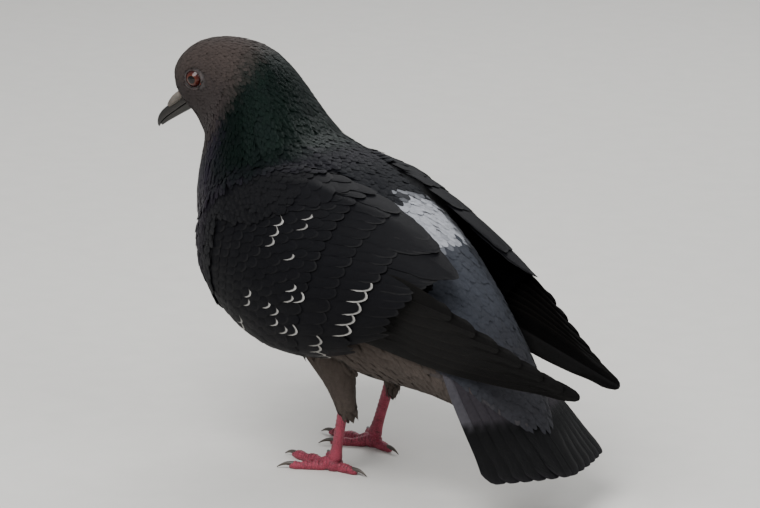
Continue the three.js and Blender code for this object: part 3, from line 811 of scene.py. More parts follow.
def vane_batch(grid, grid_normal, length, half, shape, columns, thick):
    """Gathers what a batch of vanes needs to become part of a piece. inward is mm off the rim."""
    rows = grid.shape[1]
    shares = np.linspace(0, 1, rows)
    width = outline(shape, shares)[None, :, None] * np.asarray(half)[:, None, None]
    across = width * columns[None, None, :]
    along_vane = np.broadcast_to(
        (shares[None, :] * np.asarray(length)[:, None])[..., None], across.shape
    )
    share_grid = np.broadcast_to(shares[None, :, None], across.shape)
    width_left = (1 - np.abs(columns)) * width
    width_left = width_left + SIDES_DARK * (1 - smoothstep(share_grid, 0.6, 0.95))
    column_grid = np.broadcast_to(columns[None, None, :], across.shape)
    return {
        "points": shell(grid, grid_normal, thick),
        "faces": vane_faces(rows, len(columns)),
        "vane": same_for_shell(np.stack([across, along_vane], -1)),
        "share": same_for_shell(share_grid),
        "column": same_for_shell(column_grid),
        "inward": same_for_shell(np.minimum(along_vane[:, -1:] - along_vane, width_left)),
        "shown": grid[:, int(SHOWN_SHARE * (rows - 1)), len(columns) // 2],
        "tip": grid[:, -1, len(columns) // 2],
        "root": grid[:, 0, len(columns) // 2],
    }


def without_kinks(batch, rows, columns, straightest):
    """The batch without vanes that fold sharply, where the skin turned away under them."""
    top = batch["points"][:, : rows * columns].reshape(-1, rows, columns, 3)
    ahead, sideways = np.diff(top, axis=1)[:, :, :-1], np.diff(top, axis=2)[:, :-1]
    facing = unit(np.cross(sideways, ahead))
    bends = (facing[:, 1:] * facing[:, :-1]).sum(-1).min((1, 2))
    folds = (facing[:, :, 1:] * facing[:, :, :-1]).sum(-1).min((1, 2))
    keep = np.minimum(bends, folds) > straightest
    return {key: value if key == "faces" else value[keep] for key, value in batch.items()}


# %% Colour a batch by the place of each feather on the bird
MARKING_STRAY = 1.5  # mm by which a feather's colour strays from its place, so edges are uneven
TONE_SPREAD = 0.045  # how much lighter or darker one feather is than the next


def coloured(batch, on_wing=0.0, pale=0.0):
    """pale is how worn and pale the rim of each feather is, from 0 to 1."""
    count, points = batch["share"].shape
    strayed = batch["shown"] + rng.normal(0, MARKING_STRAY, (count, 3))
    colour, gloss = markings(strayed, np.broadcast_to(on_wing, count))
    batch["colour"] = np.repeat(colour[:, None, :], points, 1)
    batch["gloss"] = gloss[:, None] * (0.45 + 0.55 * batch["share"])
    batch["tone"] = np.repeat(rng.normal(1, TONE_SPREAD, (count, 1)), points, 1)
    batch["pale"] = np.repeat(np.broadcast_to(pale, count)[:, None], points, 1)
    return batch


# %% [markdown]
# ## Pieces of the coat
#
# Thousands of separate objects would be slow to handle, and one object with every feather in
# it would be too heavy to export. So the feathers of each region are joined into one piece.
# Each keeps a small patch of the bake map, at its root's place on the unwrapped bird, so that
# the markings bake into one even image. The rims are marked sharp: a thin vane that is shaded
# smoothly round its edge looks like a thick, rounded slab.

# %% Each feather's place on the bake map, and its sharp rim
TUFT_PATCH = 0.003  # the width of one feather's patch on the unwrapped skin


def bake_patches(batch):
    """Each feather's own small patch, at the place of its root on the unwrapped skin."""
    corner = unwrap(batch["root"])[:, None, :]
    across = 0.5 * batch["column"]
    local = np.stack([across, batch["share"] - 0.5], -1)
    return corner + TUFT_PATCH * local


def crisp_rims(mesh, on_rim):
    """Marks the edges along each vane's rim as sharp, so that it is shaded thin and flat."""
    ends = np.empty(2 * len(mesh.edges), np.int32)
    mesh.edges.foreach_get("vertices", ends)
    sharp = mesh.attributes.new("sharp_edge", "BOOLEAN", "EDGE")
    sharp.data.foreach_set("value", on_rim[ends.reshape(-1, 2)].all(1))


# %% Join batches into one piece
LARGEST_PIECE = 200000  # triangles


def coat_piece(name, batches, finish, nodes=(), patches=bake_patches):
    points, faces, start = [], [], 0
    for batch in batches:
        count, size = batch["points"].shape[:2]
        points.append(batch["points"].reshape(-1, 3))
        offsets = start + size * np.arange(count)
        faces.append((batch["faces"][None] + offsets[:, None, None]).reshape(-1, 4))
        start += count * size
    piece = make_piece(name, np.vstack(points), np.vstack(faces), finish)

    def gathered(key):
        return np.concatenate([b[key].reshape(-1, *b[key].shape[2:]) for b in batches])

    add_uv(piece.data, "OFBake", np.concatenate([patches(b).reshape(-1, 2) for b in batches]))
    add_uv(piece.data, "Vane", gathered("vane"))
    add_colour(piece.data, "plumage", gathered("colour"))
    add_number(piece.data, "gloss", gathered("gloss"))
    add_number(piece.data, "tone", gathered("tone"))
    add_number(piece.data, "pale", gathered("pale"))
    add_number(piece.data, "inward", gathered("inward"))
    at_end = np.abs(gathered("share") - 0.5) > 0.4999
    crisp_rims(piece.data, (at_end | (np.abs(gathered("column")) > 0.9999)).ravel())
    if nodes:
        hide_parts(*nodes)
    triangles = 2 * len(piece.data.polygons)
    feathers = sum(len(b["points"]) for b in batches)
    print(f"{name}: {feathers} feathers, {triangles} triangles")
    if triangles > LARGEST_PIECE:
        raise SystemExit(f"{name} has too many triangles")
    return piece


# %% [markdown]
# ## Contour feathers
#
# These cover the body like tiles. On the head they are 4 mm long and lie like short fur, on
# the neck they lengthen, and on the breast and belly each shows about 5 mm. Even rows would
# show as a grid, and purely random places leave gaps and clumps. So roots are scattered, and
# each that falls closer to another than the spacing of its region is dropped, which gives the
# slightly uneven tiling of real plumage.

# %% Scatter roots over a region of the skin
TRIES = 4  # candidates for each place that may be kept


def scattered_roots(region, spacing):
    """Places on the skin, no closer than the spacing there. region is 1 where they may be."""
    corners = skin[skin_triangles]
    area = np.linalg.norm(
        np.cross(corners[:, 1] - corners[:, 0], corners[:, 2] - corners[:, 0]), axis=-1
    )
    gap = spacing[skin_triangles].mean(1)
    chance = area / gap**2 * (region[skin_triangles].min(1) > 0.5)
    wanted = int(TRIES * chance.sum())
    pick = rng.choice(len(area), wanted, p=chance / chance.sum())
    shares = rng.dirichlet((1, 1, 1), wanted)
    points = (corners[pick] * shares[..., None]).sum(1)
    gaps = gap[pick]
    cell = gaps.max()
    keys = np.floor(points / cell).astype(int)
    kept, cells = [], {}
    around = [(i, j, k) for i in (-1, 0, 1) for j in (-1, 0, 1) for k in (-1, 0, 1)]
    for i in range(wanted):
        a, b, c = keys[i]
        near = [j for da, db, dc in around for j in cells.get((a + da, b + db, c + dc), ())]
        if near and (((points[near] - points[i]) ** 2).sum(-1) < gaps[i] ** 2).any():
            continue
        kept.append(i)
        cells.setdefault((a, b, c), []).append(i)
    return points[kept], gaps[kept]


# %% Where the legs are, and how the coat lies
LEGS = {"left": {"side": -1, "ball": (24, -20)}, "right": {"side": 1, "ball": (10, 20)}}
ANKLE = (11, 2, 31)  # back and out from the foot's ball, and above the floor
KNEE = (4, 6, 66)


def from_ball(leg, place):
    back, out, up = place
    return np.array([leg["ball"][0] + back, leg["ball"][1] + leg["side"] * out, up], float)


DISORDER = 0.05  # how much directions vary from one feather to the next
SAG = 0.12  # how much feathers of the body hang down


def lie_of_coat(points):
    """The way a feather points: away from the bill along the line, and a little down."""
    pick, _ = on_line(points)
    ways = LINE_WAY[pick] + rng.normal(0, DISORDER, points.shape)
    ways[:, 2] -= SAG * smoothstep(along[pick], 60, 140)
    return ways


# %% The regions of the coat, with their spacing
SPACING = [(0, 0.85), (12, 1.0), (30, 1.25), (60, 1.8), (100, 2.4), (200, 2.5), (LENGTH, 2.2)]
LID_REACH = 5.3  # mm from the middle of each eye's opening that stay bare
OPENING_OUT = 11.5  # how far out from the middle of the head that is
WING_FRONT = -35  # x, ahead of which the body's feathers cover the bend of the wing
WING_OVERLAP = 4  # mm by which the back's feathers hang over the wing
SHOULDER = (10, 122)  # x behind which and z below which they don't
spacing = np.interp(skin_far, *np.array(SPACING).T)


def from_eyes(points):
    """The distance of each point to the middle of the nearer eye's opening."""
    openings = [on_head(0, 0, side * OPENING_OUT) for side in (-1, 1)]
    return np.min([np.linalg.norm(points - place, axis=1) for place in openings], 0)


bare = (from_eyes(outer) < LID_REACH).astype(float)
bare = np.maximum(bare, near_nodes(outer, ["bill_upper", "bill_lower", "cere"]))
shoulder = near_nodes(outer, ["neck", "trunk"], WING_OVERLAP)
shoulder *= (outer[:, 0] < SHOULDER[0]) & (outer[:, 2] > SHOULDER[1])
wing_front = np.maximum(shoulder, outer[:, 0] < WING_FRONT)
body = (1 - on_wing * (1 - wing_front)) * (1 - on_thigh) * (1 - bare)
skin_back = np.cos(skin_angle)
print("contour feathers grow on", round(100 * float(body.mean())), "% of the skin")

# %% Contour feathers over a region
BEND_BLACK = (-50, -30)  # x where the bend of the wing turns from breast colour to black
CONTOUR_BEND = 0.55  # the cosine of the sharpest fold that a contour feather may have
STEEPEST = 0.7  # no feather grows where the lie of the coat points out of the skin
LENGTH_SPREAD = 0.06
OFF_EYE = 0.8  # the share of a feather's length that has to stay off the bare ring of the eye
TIP_HEIGHT, HEIGHT_SPREAD = 0.98, 0.015  # of the tips, as a share of the coat's depth


def contour_batch(region, shape, rows, columns, long, wide, thick):
    """Feathers over a region: long and wide are their sizes as multiples of the spacing."""
    roots, gaps = scattered_roots(region, spacing)
    ways = lie_of_coat(roots)
    length = long * gaps * rng.normal(1, LENGTH_SPREAD, len(gaps))
    clear = from_eyes(roots + unit(ways) * OFF_EYE * length[:, None]) > LID_REACH
    clear &= (unit(ways) * lay_on_skin(roots)[1]).sum(-1) < STEEPEST
    roots, gaps, ways, length = roots[clear], gaps[clear], ways[clear], length[clear]
    reach = at_skin(roots, depth) * rng.normal(TIP_HEIGHT, HEIGHT_SPREAD, len(roots))
    vanes = laid_vanes(
        roots, ways, length, wide * gaps, (-0.1, reach), shape, rows, columns, thick
    )
    vanes = without_kinks(vanes, rows, len(columns), CONTOUR_BEND)
    blackness = at_skin(vanes["root"], on_wing) * smoothstep(vanes["tip"][:, 0], *BEND_BLACK)
    return coloured(vanes, blackness)


# %% The feathers of each region
REGIONS = [  # name, where, shape, rows, columns, length and width in spacings, thickness
    ("feathers_head", skin_far < 24, DOWNY_TIP, 6, EVEN_COLUMNS, 4.6, 1.1, 0.06,
     "head_feather", HEAD_FINISH),
    ("feathers_neck_fore", (skin_far >= 24) & (skin_far < 46), NECK_TIP, 7, EVEN_COLUMNS,
     5.0, 1.05, 0.06, "neck_feather", NECK_FINISH),
    ("feathers_neck_rear", (skin_far >= 46) & (skin_far < 72), NECK_TIP, 7, EVEN_COLUMNS,
     5.0, 1.05, 0.07, "neck_feather", NECK_FINISH),
    ("feathers_breast", (skin_far >= 72) & (skin_far < 98), ROUND_TIP, 7, WIDE_COLUMNS,
     4.6, 1.25, 0.08, "body_feather", BODY_FINISH),
    ("feathers_flank", (skin_far >= 98) & (skin_far < 128), ROUND_TIP, 7, WIDE_COLUMNS,
     4.6, 1.25, 0.08, "body_feather", BODY_FINISH),
    ("feathers_belly", (skin_far >= 128) & (skin_back < 0.2), DOWNY_TIP, 7, WIDE_COLUMNS,
     4.8, 1.25, 0.07, "body_feather", BODY_FINISH),
    ("feathers_rump", (skin_far >= 128) & (skin_back >= 0.2), DOWNY_TIP, 7, EVEN_COLUMNS,
     5.6, 1.3, 0.06, "body_feather", BODY_FINISH),
]
for name, where, shape, vane_rows, columns, long, wide, thick, slot_name, finish in REGIONS:
    batch = contour_batch(body * where, shape, vane_rows, columns, long, wide, thick)
    coat_piece(name, [batch], finish)

# %% [markdown]
# ## The thighs
#
# The thigh is feathered down to the ankle, with small soft feathers that hang along it. The
# line through the bird would point them backwards, so their direction is the thigh's own,
# from the knee to the ankle.

# %% Thigh feathers
THIGH_SPACING = 1.6
THIGH_VANE = (7.5, 1.7)  # length and half width
THIGH_DISORDER = 0.06
for word, leg in LEGS.items():
    knee, ankle = from_ball(leg, KNEE), from_ball(leg, ANKLE)
    here = on_thigh * (outer[:, 1] * leg["side"] > 0)
    roots, gaps = scattered_roots(here, np.full(len(outer), THIGH_SPACING))
    ways = np.repeat(unit(ankle - knee)[None], len(roots), 0)
    ways = ways + rng.normal(0, THIGH_DISORDER, roots.shape)
    clear = (unit(ways) * lay_on_skin(roots)[1]).sum(-1) < STEEPEST
    roots, ways = roots[clear], ways[clear]
    batch = laid_vanes(
        roots, ways, *THIGH_VANE, (-0.1, THIGH_DEPTH), DOWNY_TIP, 7, EVEN_COLUMNS
    )
    coat_piece(f"feathers_thigh_{word}", [coloured(batch)], LEG_FINISH)

# %% [markdown]
# ## The folded wing
#
# A folded wing is layers of rows. The small coverts near the bend overlap like scales, then
# come the median and greater coverts, and under them the ends of the secondaries. The inner
# feathers lie over the outer ones, and the tertials lie over them all along the back. Laid
# straight onto the skin, such rows drift apart wherever it curves. So the outer face of the
# wing is unrolled and the rows are planned on that flat sheet: x runs along the bird, and the
# girth round the wing from its middle line, downwards below nought and upwards above.

# %% Where each wing is, in side view
WING_EDGES = np.array([  # x, z of the lower and of the upper edge
    (-51, 97, 107), (-46, 87, 122), (-24, 70, 138), (6, 60, 144), (36, 60, 141),
    (64, 67, 132), (86, 78, 121), (101, 87, 112), (112, 96, 104.5),
])
MIDDLE_Z = 101  # of the line that the girth is measured from
REAR_RISE = {-1: 4, 1: -4}  # how much higher each wing's rear end is carried
STATION = 2.0  # mm from one slice across the wing to the next
GIRTH_STEP = 1.5
STATIONS = np.arange(-66, 128, STATION)
GIRTHS = np.arange(-90, 100, GIRTH_STEP)
FIRST_SLICE, LAST_SLICE = -49, 110
SLICE_EYE = 15  # mm out from the middle of the bird, where the rays of a slice meet
FAR_OUT = 120
RIM = 4  # mm of each edge that give the slope on which the sheet goes on beyond it


def sheet_slice(tree, side, x):
    """The outer face of the wing in one slice: points from its lower to its upper edge."""
    low, high = (np.interp(x, WING_EDGES[:, 0], WING_EDGES[:, k]) for k in (1, 2))
    rise = REAR_RISE[side] * smoothstep(x, 20, 95)
    eye = Vector((x, side * SLICE_EYE, (low + high) / 2 + rise))
    hits = []
    for angle in np.radians(np.linspace(-110, 110, 111)):
        way = Vector((0, side * math.cos(angle), math.sin(angle)))
        hit = tree.ray_cast(eye + way * FAR_OUT, -way, FAR_OUT)[0]
        if hit is not None:
            hits.append(hit[1:])
    edge = np.array(hits)
    run = np.concatenate([[0], np.cumsum(np.linalg.norm(np.diff(edge, axis=0), axis=1))])
    return edge, run - np.interp(MIDDLE_Z + rise, edge[:, 1], run)


# %% The sheet of a wing, slice by slice
SHEET_SMOOTHING = 9  # entries of the table across which it is evened out


def smoothed(table, width):
    """A table smoothed along its first two axes, which keeps straight ends straight."""
    window = np.hanning(width + 2)[1:-1]
    window = window / window.sum()
    for axis in (0, 1):
        margins = [(0, 0)] * table.ndim
        margins[axis] = (width // 2, width // 2)
        wide = np.pad(table, margins, mode="reflect", reflect_type="odd")
        table = sum(
            share * np.take(wide, np.arange(k, k + table.shape[axis]), axis)
            for k, share in enumerate(window)
        )
    return table


def wing_sheet(word, side):
    """The unrolled outer face: its points and normals, and the girth at its two edges."""
    points, faces = node_mesh(f"wing_{word}")
    tree = BVHTree.FromPolygons(points.tolist(), faces.tolist())
    table = np.zeros((len(STATIONS), len(GIRTHS), 3))
    edges = []
    for i, x in enumerate(STATIONS):
        edge, run = sheet_slice(tree, side, float(np.clip(x, FIRST_SLICE, LAST_SLICE)))
        at = [np.array([np.interp(g, run, edge[:, k]) for k in (0, 1)])
              for g in (run[0], run[0] + RIM, run[-1] - RIM, run[-1])]
        low_way, high_way = unit(at[0] - at[1]), unit(at[3] - at[2])
        for k in (0, 1):
            inside = np.interp(GIRTHS, run, edge[:, k])
            below = np.maximum(run[0] - GIRTHS, 0) * low_way[k]
            above = np.maximum(GIRTHS - run[-1], 0) * high_way[k]
            table[i, :, k + 1] = inside + below + above
        table[i, :, 0] = x
        edges.append((run[0], run[-1]))
    table = smoothed(table, SHEET_SMOOTHING)
    ahead, upward = np.gradient(table, axis=0), np.gradient(table, axis=1)
    normals = unit(-side * np.cross(ahead, upward))
    return {"points": table - normals * WING_DEPTH, "normals": normals,
            "edges": smoothed(np.array(edges)[:, :, None], 1)[..., 0]}


# %% Places on the sheet
def on_sheet(sheet, x, girth):
    """The place on the wing and the normal there, at an x and a girth."""
    u = np.clip((x - STATIONS[0]) / STATION, 0, len(STATIONS) - 1.001)
    v = np.clip((girth - GIRTHS[0]) / GIRTH_STEP, 0, len(GIRTHS) - 1.001)
    i, j = u.astype(int), v.astype(int)
    u, v = (u - i)[..., None], (v - j)[..., None]

    def mixed(table):
        near = table[i, j] * (1 - u) + table[i + 1, j] * u
        far = table[i, j + 1] * (1 - u) + table[i + 1, j + 1] * u
        return near * (1 - v) + far * v

    return mixed(sheet["points"]), unit(mixed(sheet["normals"]))


SHEETS = {word: wing_sheet(word, leg["side"]) for word, leg in LEGS.items()}
for word, sheet in SHEETS.items():
    print(word, "wing: widest girth", round(float(np.ptp(sheet["edges"], axis=1).max())), "mm")

# %% Where a row runs, and how its feathers slope
LOWER_RUN = (-44, 76)  # x of the first and of the last row at the lower edge
UPPER_RUN = (-46, 111)  # and at the upper edge
LOWER_SLOPE = np.array([(-50, -46), (-24, -30), (6, -16), (36, -8), (64, -5), (112, -10)])
UPPER_SLOPE = np.array([(-50, 6), (-24, 0), (6, -6), (36, -17), (64, -27), (112, -33)])


def row_places(sheet, row, high):
    """x and girth of places in a row: row is 0 at the bend and 1 at the rear, high 0 to 1."""
    low_x = LOWER_RUN[0] + (LOWER_RUN[1] - LOWER_RUN[0]) * row
    up_x = UPPER_RUN[0] + (UPPER_RUN[1] - UPPER_RUN[0]) * row
    x = low_x + (up_x - low_x) * high + 5 * np.sin(np.pi * np.clip(high, 0, 1)) * row
    edges = [np.interp(x, STATIONS, sheet["edges"][:, k]) for k in (0, 1)]
    return x, edges[0] + (edges[1] - edges[0]) * high


def wing_slope(x, high):
    low = np.interp(x, *LOWER_SLOPE.T)
    return np.radians(low + (np.interp(x, *UPPER_SLOPE.T) - low) * np.clip(high, 0, 1))


# %% Vanes planned on the sheet
WING_THICK, WING_ARCH = 0.16, 0.05
SHAFT_CURVE = 0.12  # radians by which a shaft bends over its length
OVERLAP_TILT = 0.05  # a vane's upper edge is tucked under its neighbour by this share of it
OVERHANG = 1.2  # how far a vane can reach past the wing's upper edge


def wing_vanes(sheet, tips, slope, length, half, rise, shape, rows, columns):
    """Vanes with their tips at places on the sheet. rise is the height of root and tip."""
    shares = np.linspace(0, 1, rows)[None, :, None]
    across = np.asarray(columns)[None, None, :]
    length, half = (np.asarray(v, float)[:, None, None] for v in (length, half))
    slope = slope[:, None, None] - SHAFT_CURVE * (shares - 1)
    ragged = rng.normal(0, 1, (len(tips), rows, len(columns)))
    width = outline(shape, shares) * half * across
    back = shape["arc"] * np.abs(across) ** 2 * shares**2
    back = back + 0.008 * ragged * shares * (np.abs(across) > 0.9)
    reach = (shares - 1 - back) * length
    x = tips[:, 0, None, None] + reach * np.cos(slope) - width * np.sin(slope)
    girth = tips[:, 1, None, None] + reach * np.sin(slope) + width * np.cos(slope)
    beyond = girth - np.interp(x, STATIONS, sheet["edges"][:, 1])
    girth = np.where(beyond > 0, girth - beyond + beyond / (1 + beyond / OVERHANG), girth)
    place, normal = on_sheet(sheet, x, girth)
    height = lift(rise, shares) - WING_ARCH * half * across**2 - OVERLAP_TILT * half * across
    height = height + 0.02 * ragged
    grid = place + normal * height[..., None]
    return vane_batch(grid, normal, length[:, 0, 0], half[:, 0, 0], shape, columns, WING_THICK)


# %% A row of feathers
HIGH_STRAY, SLOPE_STRAY = 0.003, 0.012
LENGTH_STRAY, TIP_STRAY = 0.03, 0.015  # as shares of the length


def wing_row(sheet, row, count, length, half, rise, low, top, shape, rows, columns, offset=0.0):
    """Feathers side by side from low to top. offset shifts them by a share of one feather."""
    high = low + (top - low) * (np.arange(count) + 0.5 + offset) / count
    high = high + rng.normal(0, HIGH_STRAY, count)
    x, girth = row_places(sheet, row, high)
    slope = wing_slope(x, high) + rng.normal(0, SLOPE_STRAY, count)
    lengths = length * rng.normal(1, LENGTH_STRAY, count)
    x = x + rng.normal(0, TIP_STRAY, count) * length
    return wing_vanes(sheet, np.stack([x, girth], -1), slope, lengths, np.full(count, half),
                      rise, shape, rows, columns)


# %% [markdown]
# ## Pale rims
#
# Feathers wear from the edge. This bird has a scatter of pale crescents on its wings and two
# lines of them that meet low on the wing. Paint over the whole wing would run across
# feathers, so each feather is told how pale its own rim is, and the finish draws the crescent.

# %% Pale worn rims on a few of the coverts
PALE_LINES = [  # from and to, as x and z in side view
    ((32, 77), (41, 71)), ((41, 71), (40, 62)), ((74, 102), (69, 92)), ((69, 92), (49, 67)),
    ((3, 89), (6, 85)), ((-1, 73), (-7, 65)), ((17, 87), (24, 80)), ((33, 97), (37, 91)),
]
PALE_SPOTS = [(-3, 138), (7, 130), (20, 123), (18, 115), (33, 124), (50, 114), (31, 109)]
PALE_REACH = 3.8
LONG_PALE_REACH = 4.5  # the long feathers' tips are further apart


def paleness(batch, reach=PALE_REACH):
    """How pale each feather's rim is: near the lines and spots above, and faintly elsewhere."""
    flat = batch["tip"][:, [0, 2]]
    near = np.full(len(flat), 99.0)
    for start, end in PALE_LINES + [(spot, spot) for spot in PALE_SPOTS]:
        start, end = np.array(start, float), np.array(end, float)
        run = end - start
        share = np.clip(((flat - start) @ run) / max(run @ run, 1e-9), 0, 1)
        near = np.minimum(near, np.linalg.norm(flat - start - share[:, None] * run, axis=1))
    faint = rng.uniform(0, 0.025, len(flat))
    return np.where(near < reach, rng.uniform(0.6, 1, len(flat)), faint)


# %% The rows of a wing
COVERT_ROWS = 12
COVERT_TOP = (0.86, 0.99)  # how high the first rows reach, under the neck, and the later ones
COVERTS = {"first": 0.07, "last": 0.61, "length": (13, 23), "half": (4.0, 5.4)}
LONG_ROWS = [  # name, row, feathers, length, half width, height of root and tip, from and to high
    ("innermost quills", 1.0, 6, 60, 7.0, (-16, -14), 0.12, 0.52),
    ("fourth layer", 1.0, 7, 60, 7.0, (-12.5, -10.5), 0.1, 0.56),
    ("third layer", 0.99, 8, 60, 7.0, (-9, -7), 0.07, 0.6),
    ("inner secondaries", 0.98, 9, 60, 7.0, (-5.7, -4.0), 0.04, 0.66),
    ("under secondaries", 0.985, 10, 60, 7.2, (-3.2, -1.6), 0.03, 0.72),
    ("secondaries", 1.0, 12, 58, 7.6, (-1.0, 0.5), 0.02, 0.78),
    ("inner tertials", 0.95, 4, 54, 8.5, (-1.4, 0.2), 0.8, 1.0),
    ("tertials", 1.0, 5, 62, 9.5, (-0.4, 1.1), 0.72, 1.0),
    ("upper tertials", 0.9, 4, 52, 9.5, (0.2, 1.55), 0.8, 0.99),
    ("greater coverts", 0.85, 16, 38, 6.4, (-0.3, 1.5), -0.02, 0.97),
    ("median coverts", 0.725, 18, 30, 5.8, (-0.1, 1.7), -0.02, 0.98),
]

# %% Lay the rows on both wings
for word, sheet in SHEETS.items():
    coverts = []
    for k in range(COVERT_ROWS):
        share = k / (COVERT_ROWS - 1)
        row = COVERTS["first"] + (COVERTS["last"] - COVERTS["first"]) * share
        length = COVERTS["length"][0] + np.ptp(COVERTS["length"]) * share
        top = COVERT_TOP[0] + np.ptp(COVERT_TOP) * smoothstep(share, 0, 0.5)
        half = COVERTS["half"][0] + np.ptp(COVERTS["half"]) * share
        batch = wing_row(sheet, row, int(24 * top - 3 * share), length, half, (-0.1, 1.85), -0.03,
                         top, ROUND_TIP, 8, WIDE_COLUMNS, 0.5 * (k % 2) - 0.25)
        coverts.append(coloured(batch, 1.0, paleness(batch)))
    coat_piece(f"coverts_{word}", coverts, WING_FINISH)
    quills = []
    for name, row, count, length, half, rise, low, top in LONG_ROWS:
        batch = wing_row(sheet, row, count, length, half, rise, low, top, BROAD_TIP, 16,
                         QUILL_COLUMNS)
        quills.append(coloured(batch, 1.0, paleness(batch, LONG_PALE_REACH)))
    coat_piece(f"secondaries_{word}", quills, WING_FINISH)

# %% [markdown]
# ## The scapulars
#
# Large soft feathers grow on the shoulder and hide the place where the wing meets the back.
# They lie on both, and the wing's sheet ends at its edge, so their rows are dropped onto the
# skin from above instead.

# %% Scapular rows, dropped onto the shoulder from above
SCAPULAR_ROWS = [  # x of the roots, feathers, length and half width
    (-17, 5, 15, 4.2), (-11, 6, 17, 4.6), (-4, 6, 19, 5.0), (3, 6, 21, 5.5), (10, 6, 23, 6.0),
    (18, 5, 22, 6.4), (25, 4, 18, 6.4),
]
SCAPULAR_OUT = (7, 33)  # mm off the middle of the back
SCAPULAR_BEND = 0.8  # the cosine of the sharpest fold that one may have
SCAPULAR_BLACK = (-6, 12)  # x where their colour turns from the mantle's to the wing's


def dropped_from_above(x, y):
    points = []
    for along_x, out in zip(x, y):
        hit = skin_tree.ray_cast(Vector((along_x, out, 250)), Vector((0, 0, -1)))[0]
        points.append(hit)
    return np.array(points)


for word, leg in LEGS.items():
    batches = []
    for k, (x, count, length, half) in enumerate(SCAPULAR_ROWS):
        shares = (np.arange(count) + 0.5 + 0.3 * (k % 2)) / count
        out = SCAPULAR_OUT[0] + np.ptp(SCAPULAR_OUT) * shares
        roots = dropped_from_above(x + rng.normal(0, 1, count) - 6 * shares, leg["side"] * out)
        ways = np.stack([
            np.ones(count), leg["side"] * (0.05 + 0.1 * shares), -0.15 - 0.3 * shares
        ], -1)
        batch = laid_vanes(
            roots, ways, length * rng.normal(1, 0.04, count), half, (0.0, 1.7), ROUND_TIP, 10,
            WIDE_COLUMNS, 0.14, 0.04,
        )
        batch = without_kinks(batch, 10, len(WIDE_COLUMNS), SCAPULAR_BEND)
        blackness = smoothstep(batch["tip"][:, 0], *SCAPULAR_BLACK)
        batches.append(coloured(batch, blackness, 0.25 * paleness(batch)))
    coat_piece(f"scapulars_{word}", batches, WING_FINISH)

# %% [markdown]
# ## Long quills: the wing tips and the tail
#
# These stick out past the body, so there is no skin to walk them over. Each is a flat vane
# with a raised shaft, given by its root and tip. The longest primary lies innermost and
# lowest, and the shorter ones step up over it. The twelve tail feathers fan out a little from
# one root, the middle pair on top.

# %% A straight quill between two points
QUILL_ROWS = 30
QUILL_SHAPE = {"root": 0.62, "widest": 0.45, "tip": 0.55, "arc": 0.09, "notch": 0.0}


def quill_batch(roots, tips, across, face, half, thick, shaft, bow, shape=QUILL_SHAPE):
    """Long vanes. bow is how far the middle of each stands above the line from root to tip."""
    columns = QUILL_COLUMNS
    shares = np.linspace(0, 1, QUILL_ROWS)
    count = len(roots)
    length = np.linalg.norm(tips - roots, axis=1)
    way = unit(tips - roots)
    grid = np.zeros((count, QUILL_ROWS, len(columns), 3))
    wave = rng.normal(0, 1, (count, 3))
    for r, share in enumerate(shares):
        width = outline(shape, share) * half
        for c, column in enumerate(columns):
            edge = column**2
            back = shape["arc"] * abs(column) ** 3 * smoothstep(share, 0.7, 1)
            height = bow * math.sin(math.pi * share) + 0.1 * half * (1 - edge)
            height = height + shaft * (abs(column) < 0.02) * (1 - 0.8 * share)
            ripple = 0.1 * np.sin(9 * share + 3 * wave[:, 0]) * edge * wave[:, 1]
            grid[:, r, c] = (
                roots + way * ((share - back) * length)[:, None]
                + across * (column * width)[:, None] + face * (height + ripple)[:, None]
            )
    normals = np.broadcast_to(face[:, None, None, :], grid.shape)
    return vane_batch(grid, normals, length, half, shape, columns, thick)


def strip_patches(batch):
    """A quill is long enough to have a strip of the map to itself."""
    count = len(batch["root"])
    column = (np.arange(count) + 0.5)[:, None] / count
    u = column + batch["column"] * 0.4 / count
    return np.stack([u, 0.02 + 0.96 * batch["share"]], -1)


# %% Primaries
PRIMARIES = 7
PRIMARY_HALF = 8.4
PRIMARY_THICK, PRIMARY_SHAFT = 0.35, 0.35
PRIMARY_STEP = 0.72  # out from one to the next
ROOT_X = 72
HIDDEN_SHARE = 0.25  # of a primary's free length, further forward under the secondaries
ROOT_LOW, ROOT_HIGH = (35, 77), (36.5, 99)  # out and z of the longest and the shortest root
TIP_FAR, TIP_NEAR = (172.3, 12.5, 64.5), (114, 29.5, 90.5)
CROWDED, STEPPED = 1.15, 1.2  # how the tips are spaced along the wing and in height: 1 is evenly
FACES_LEAN = 0.12  # how far the vanes lean out from upright
PRIMARY_BLACK = linear("#090808")
PRIMARY_EDGE = linear("#181614")


def lerp(a, b, share):
    share = np.asarray(share)[:, None]
    return np.array(a, float)[None] * (1 - share) + np.array(b, float)[None] * share


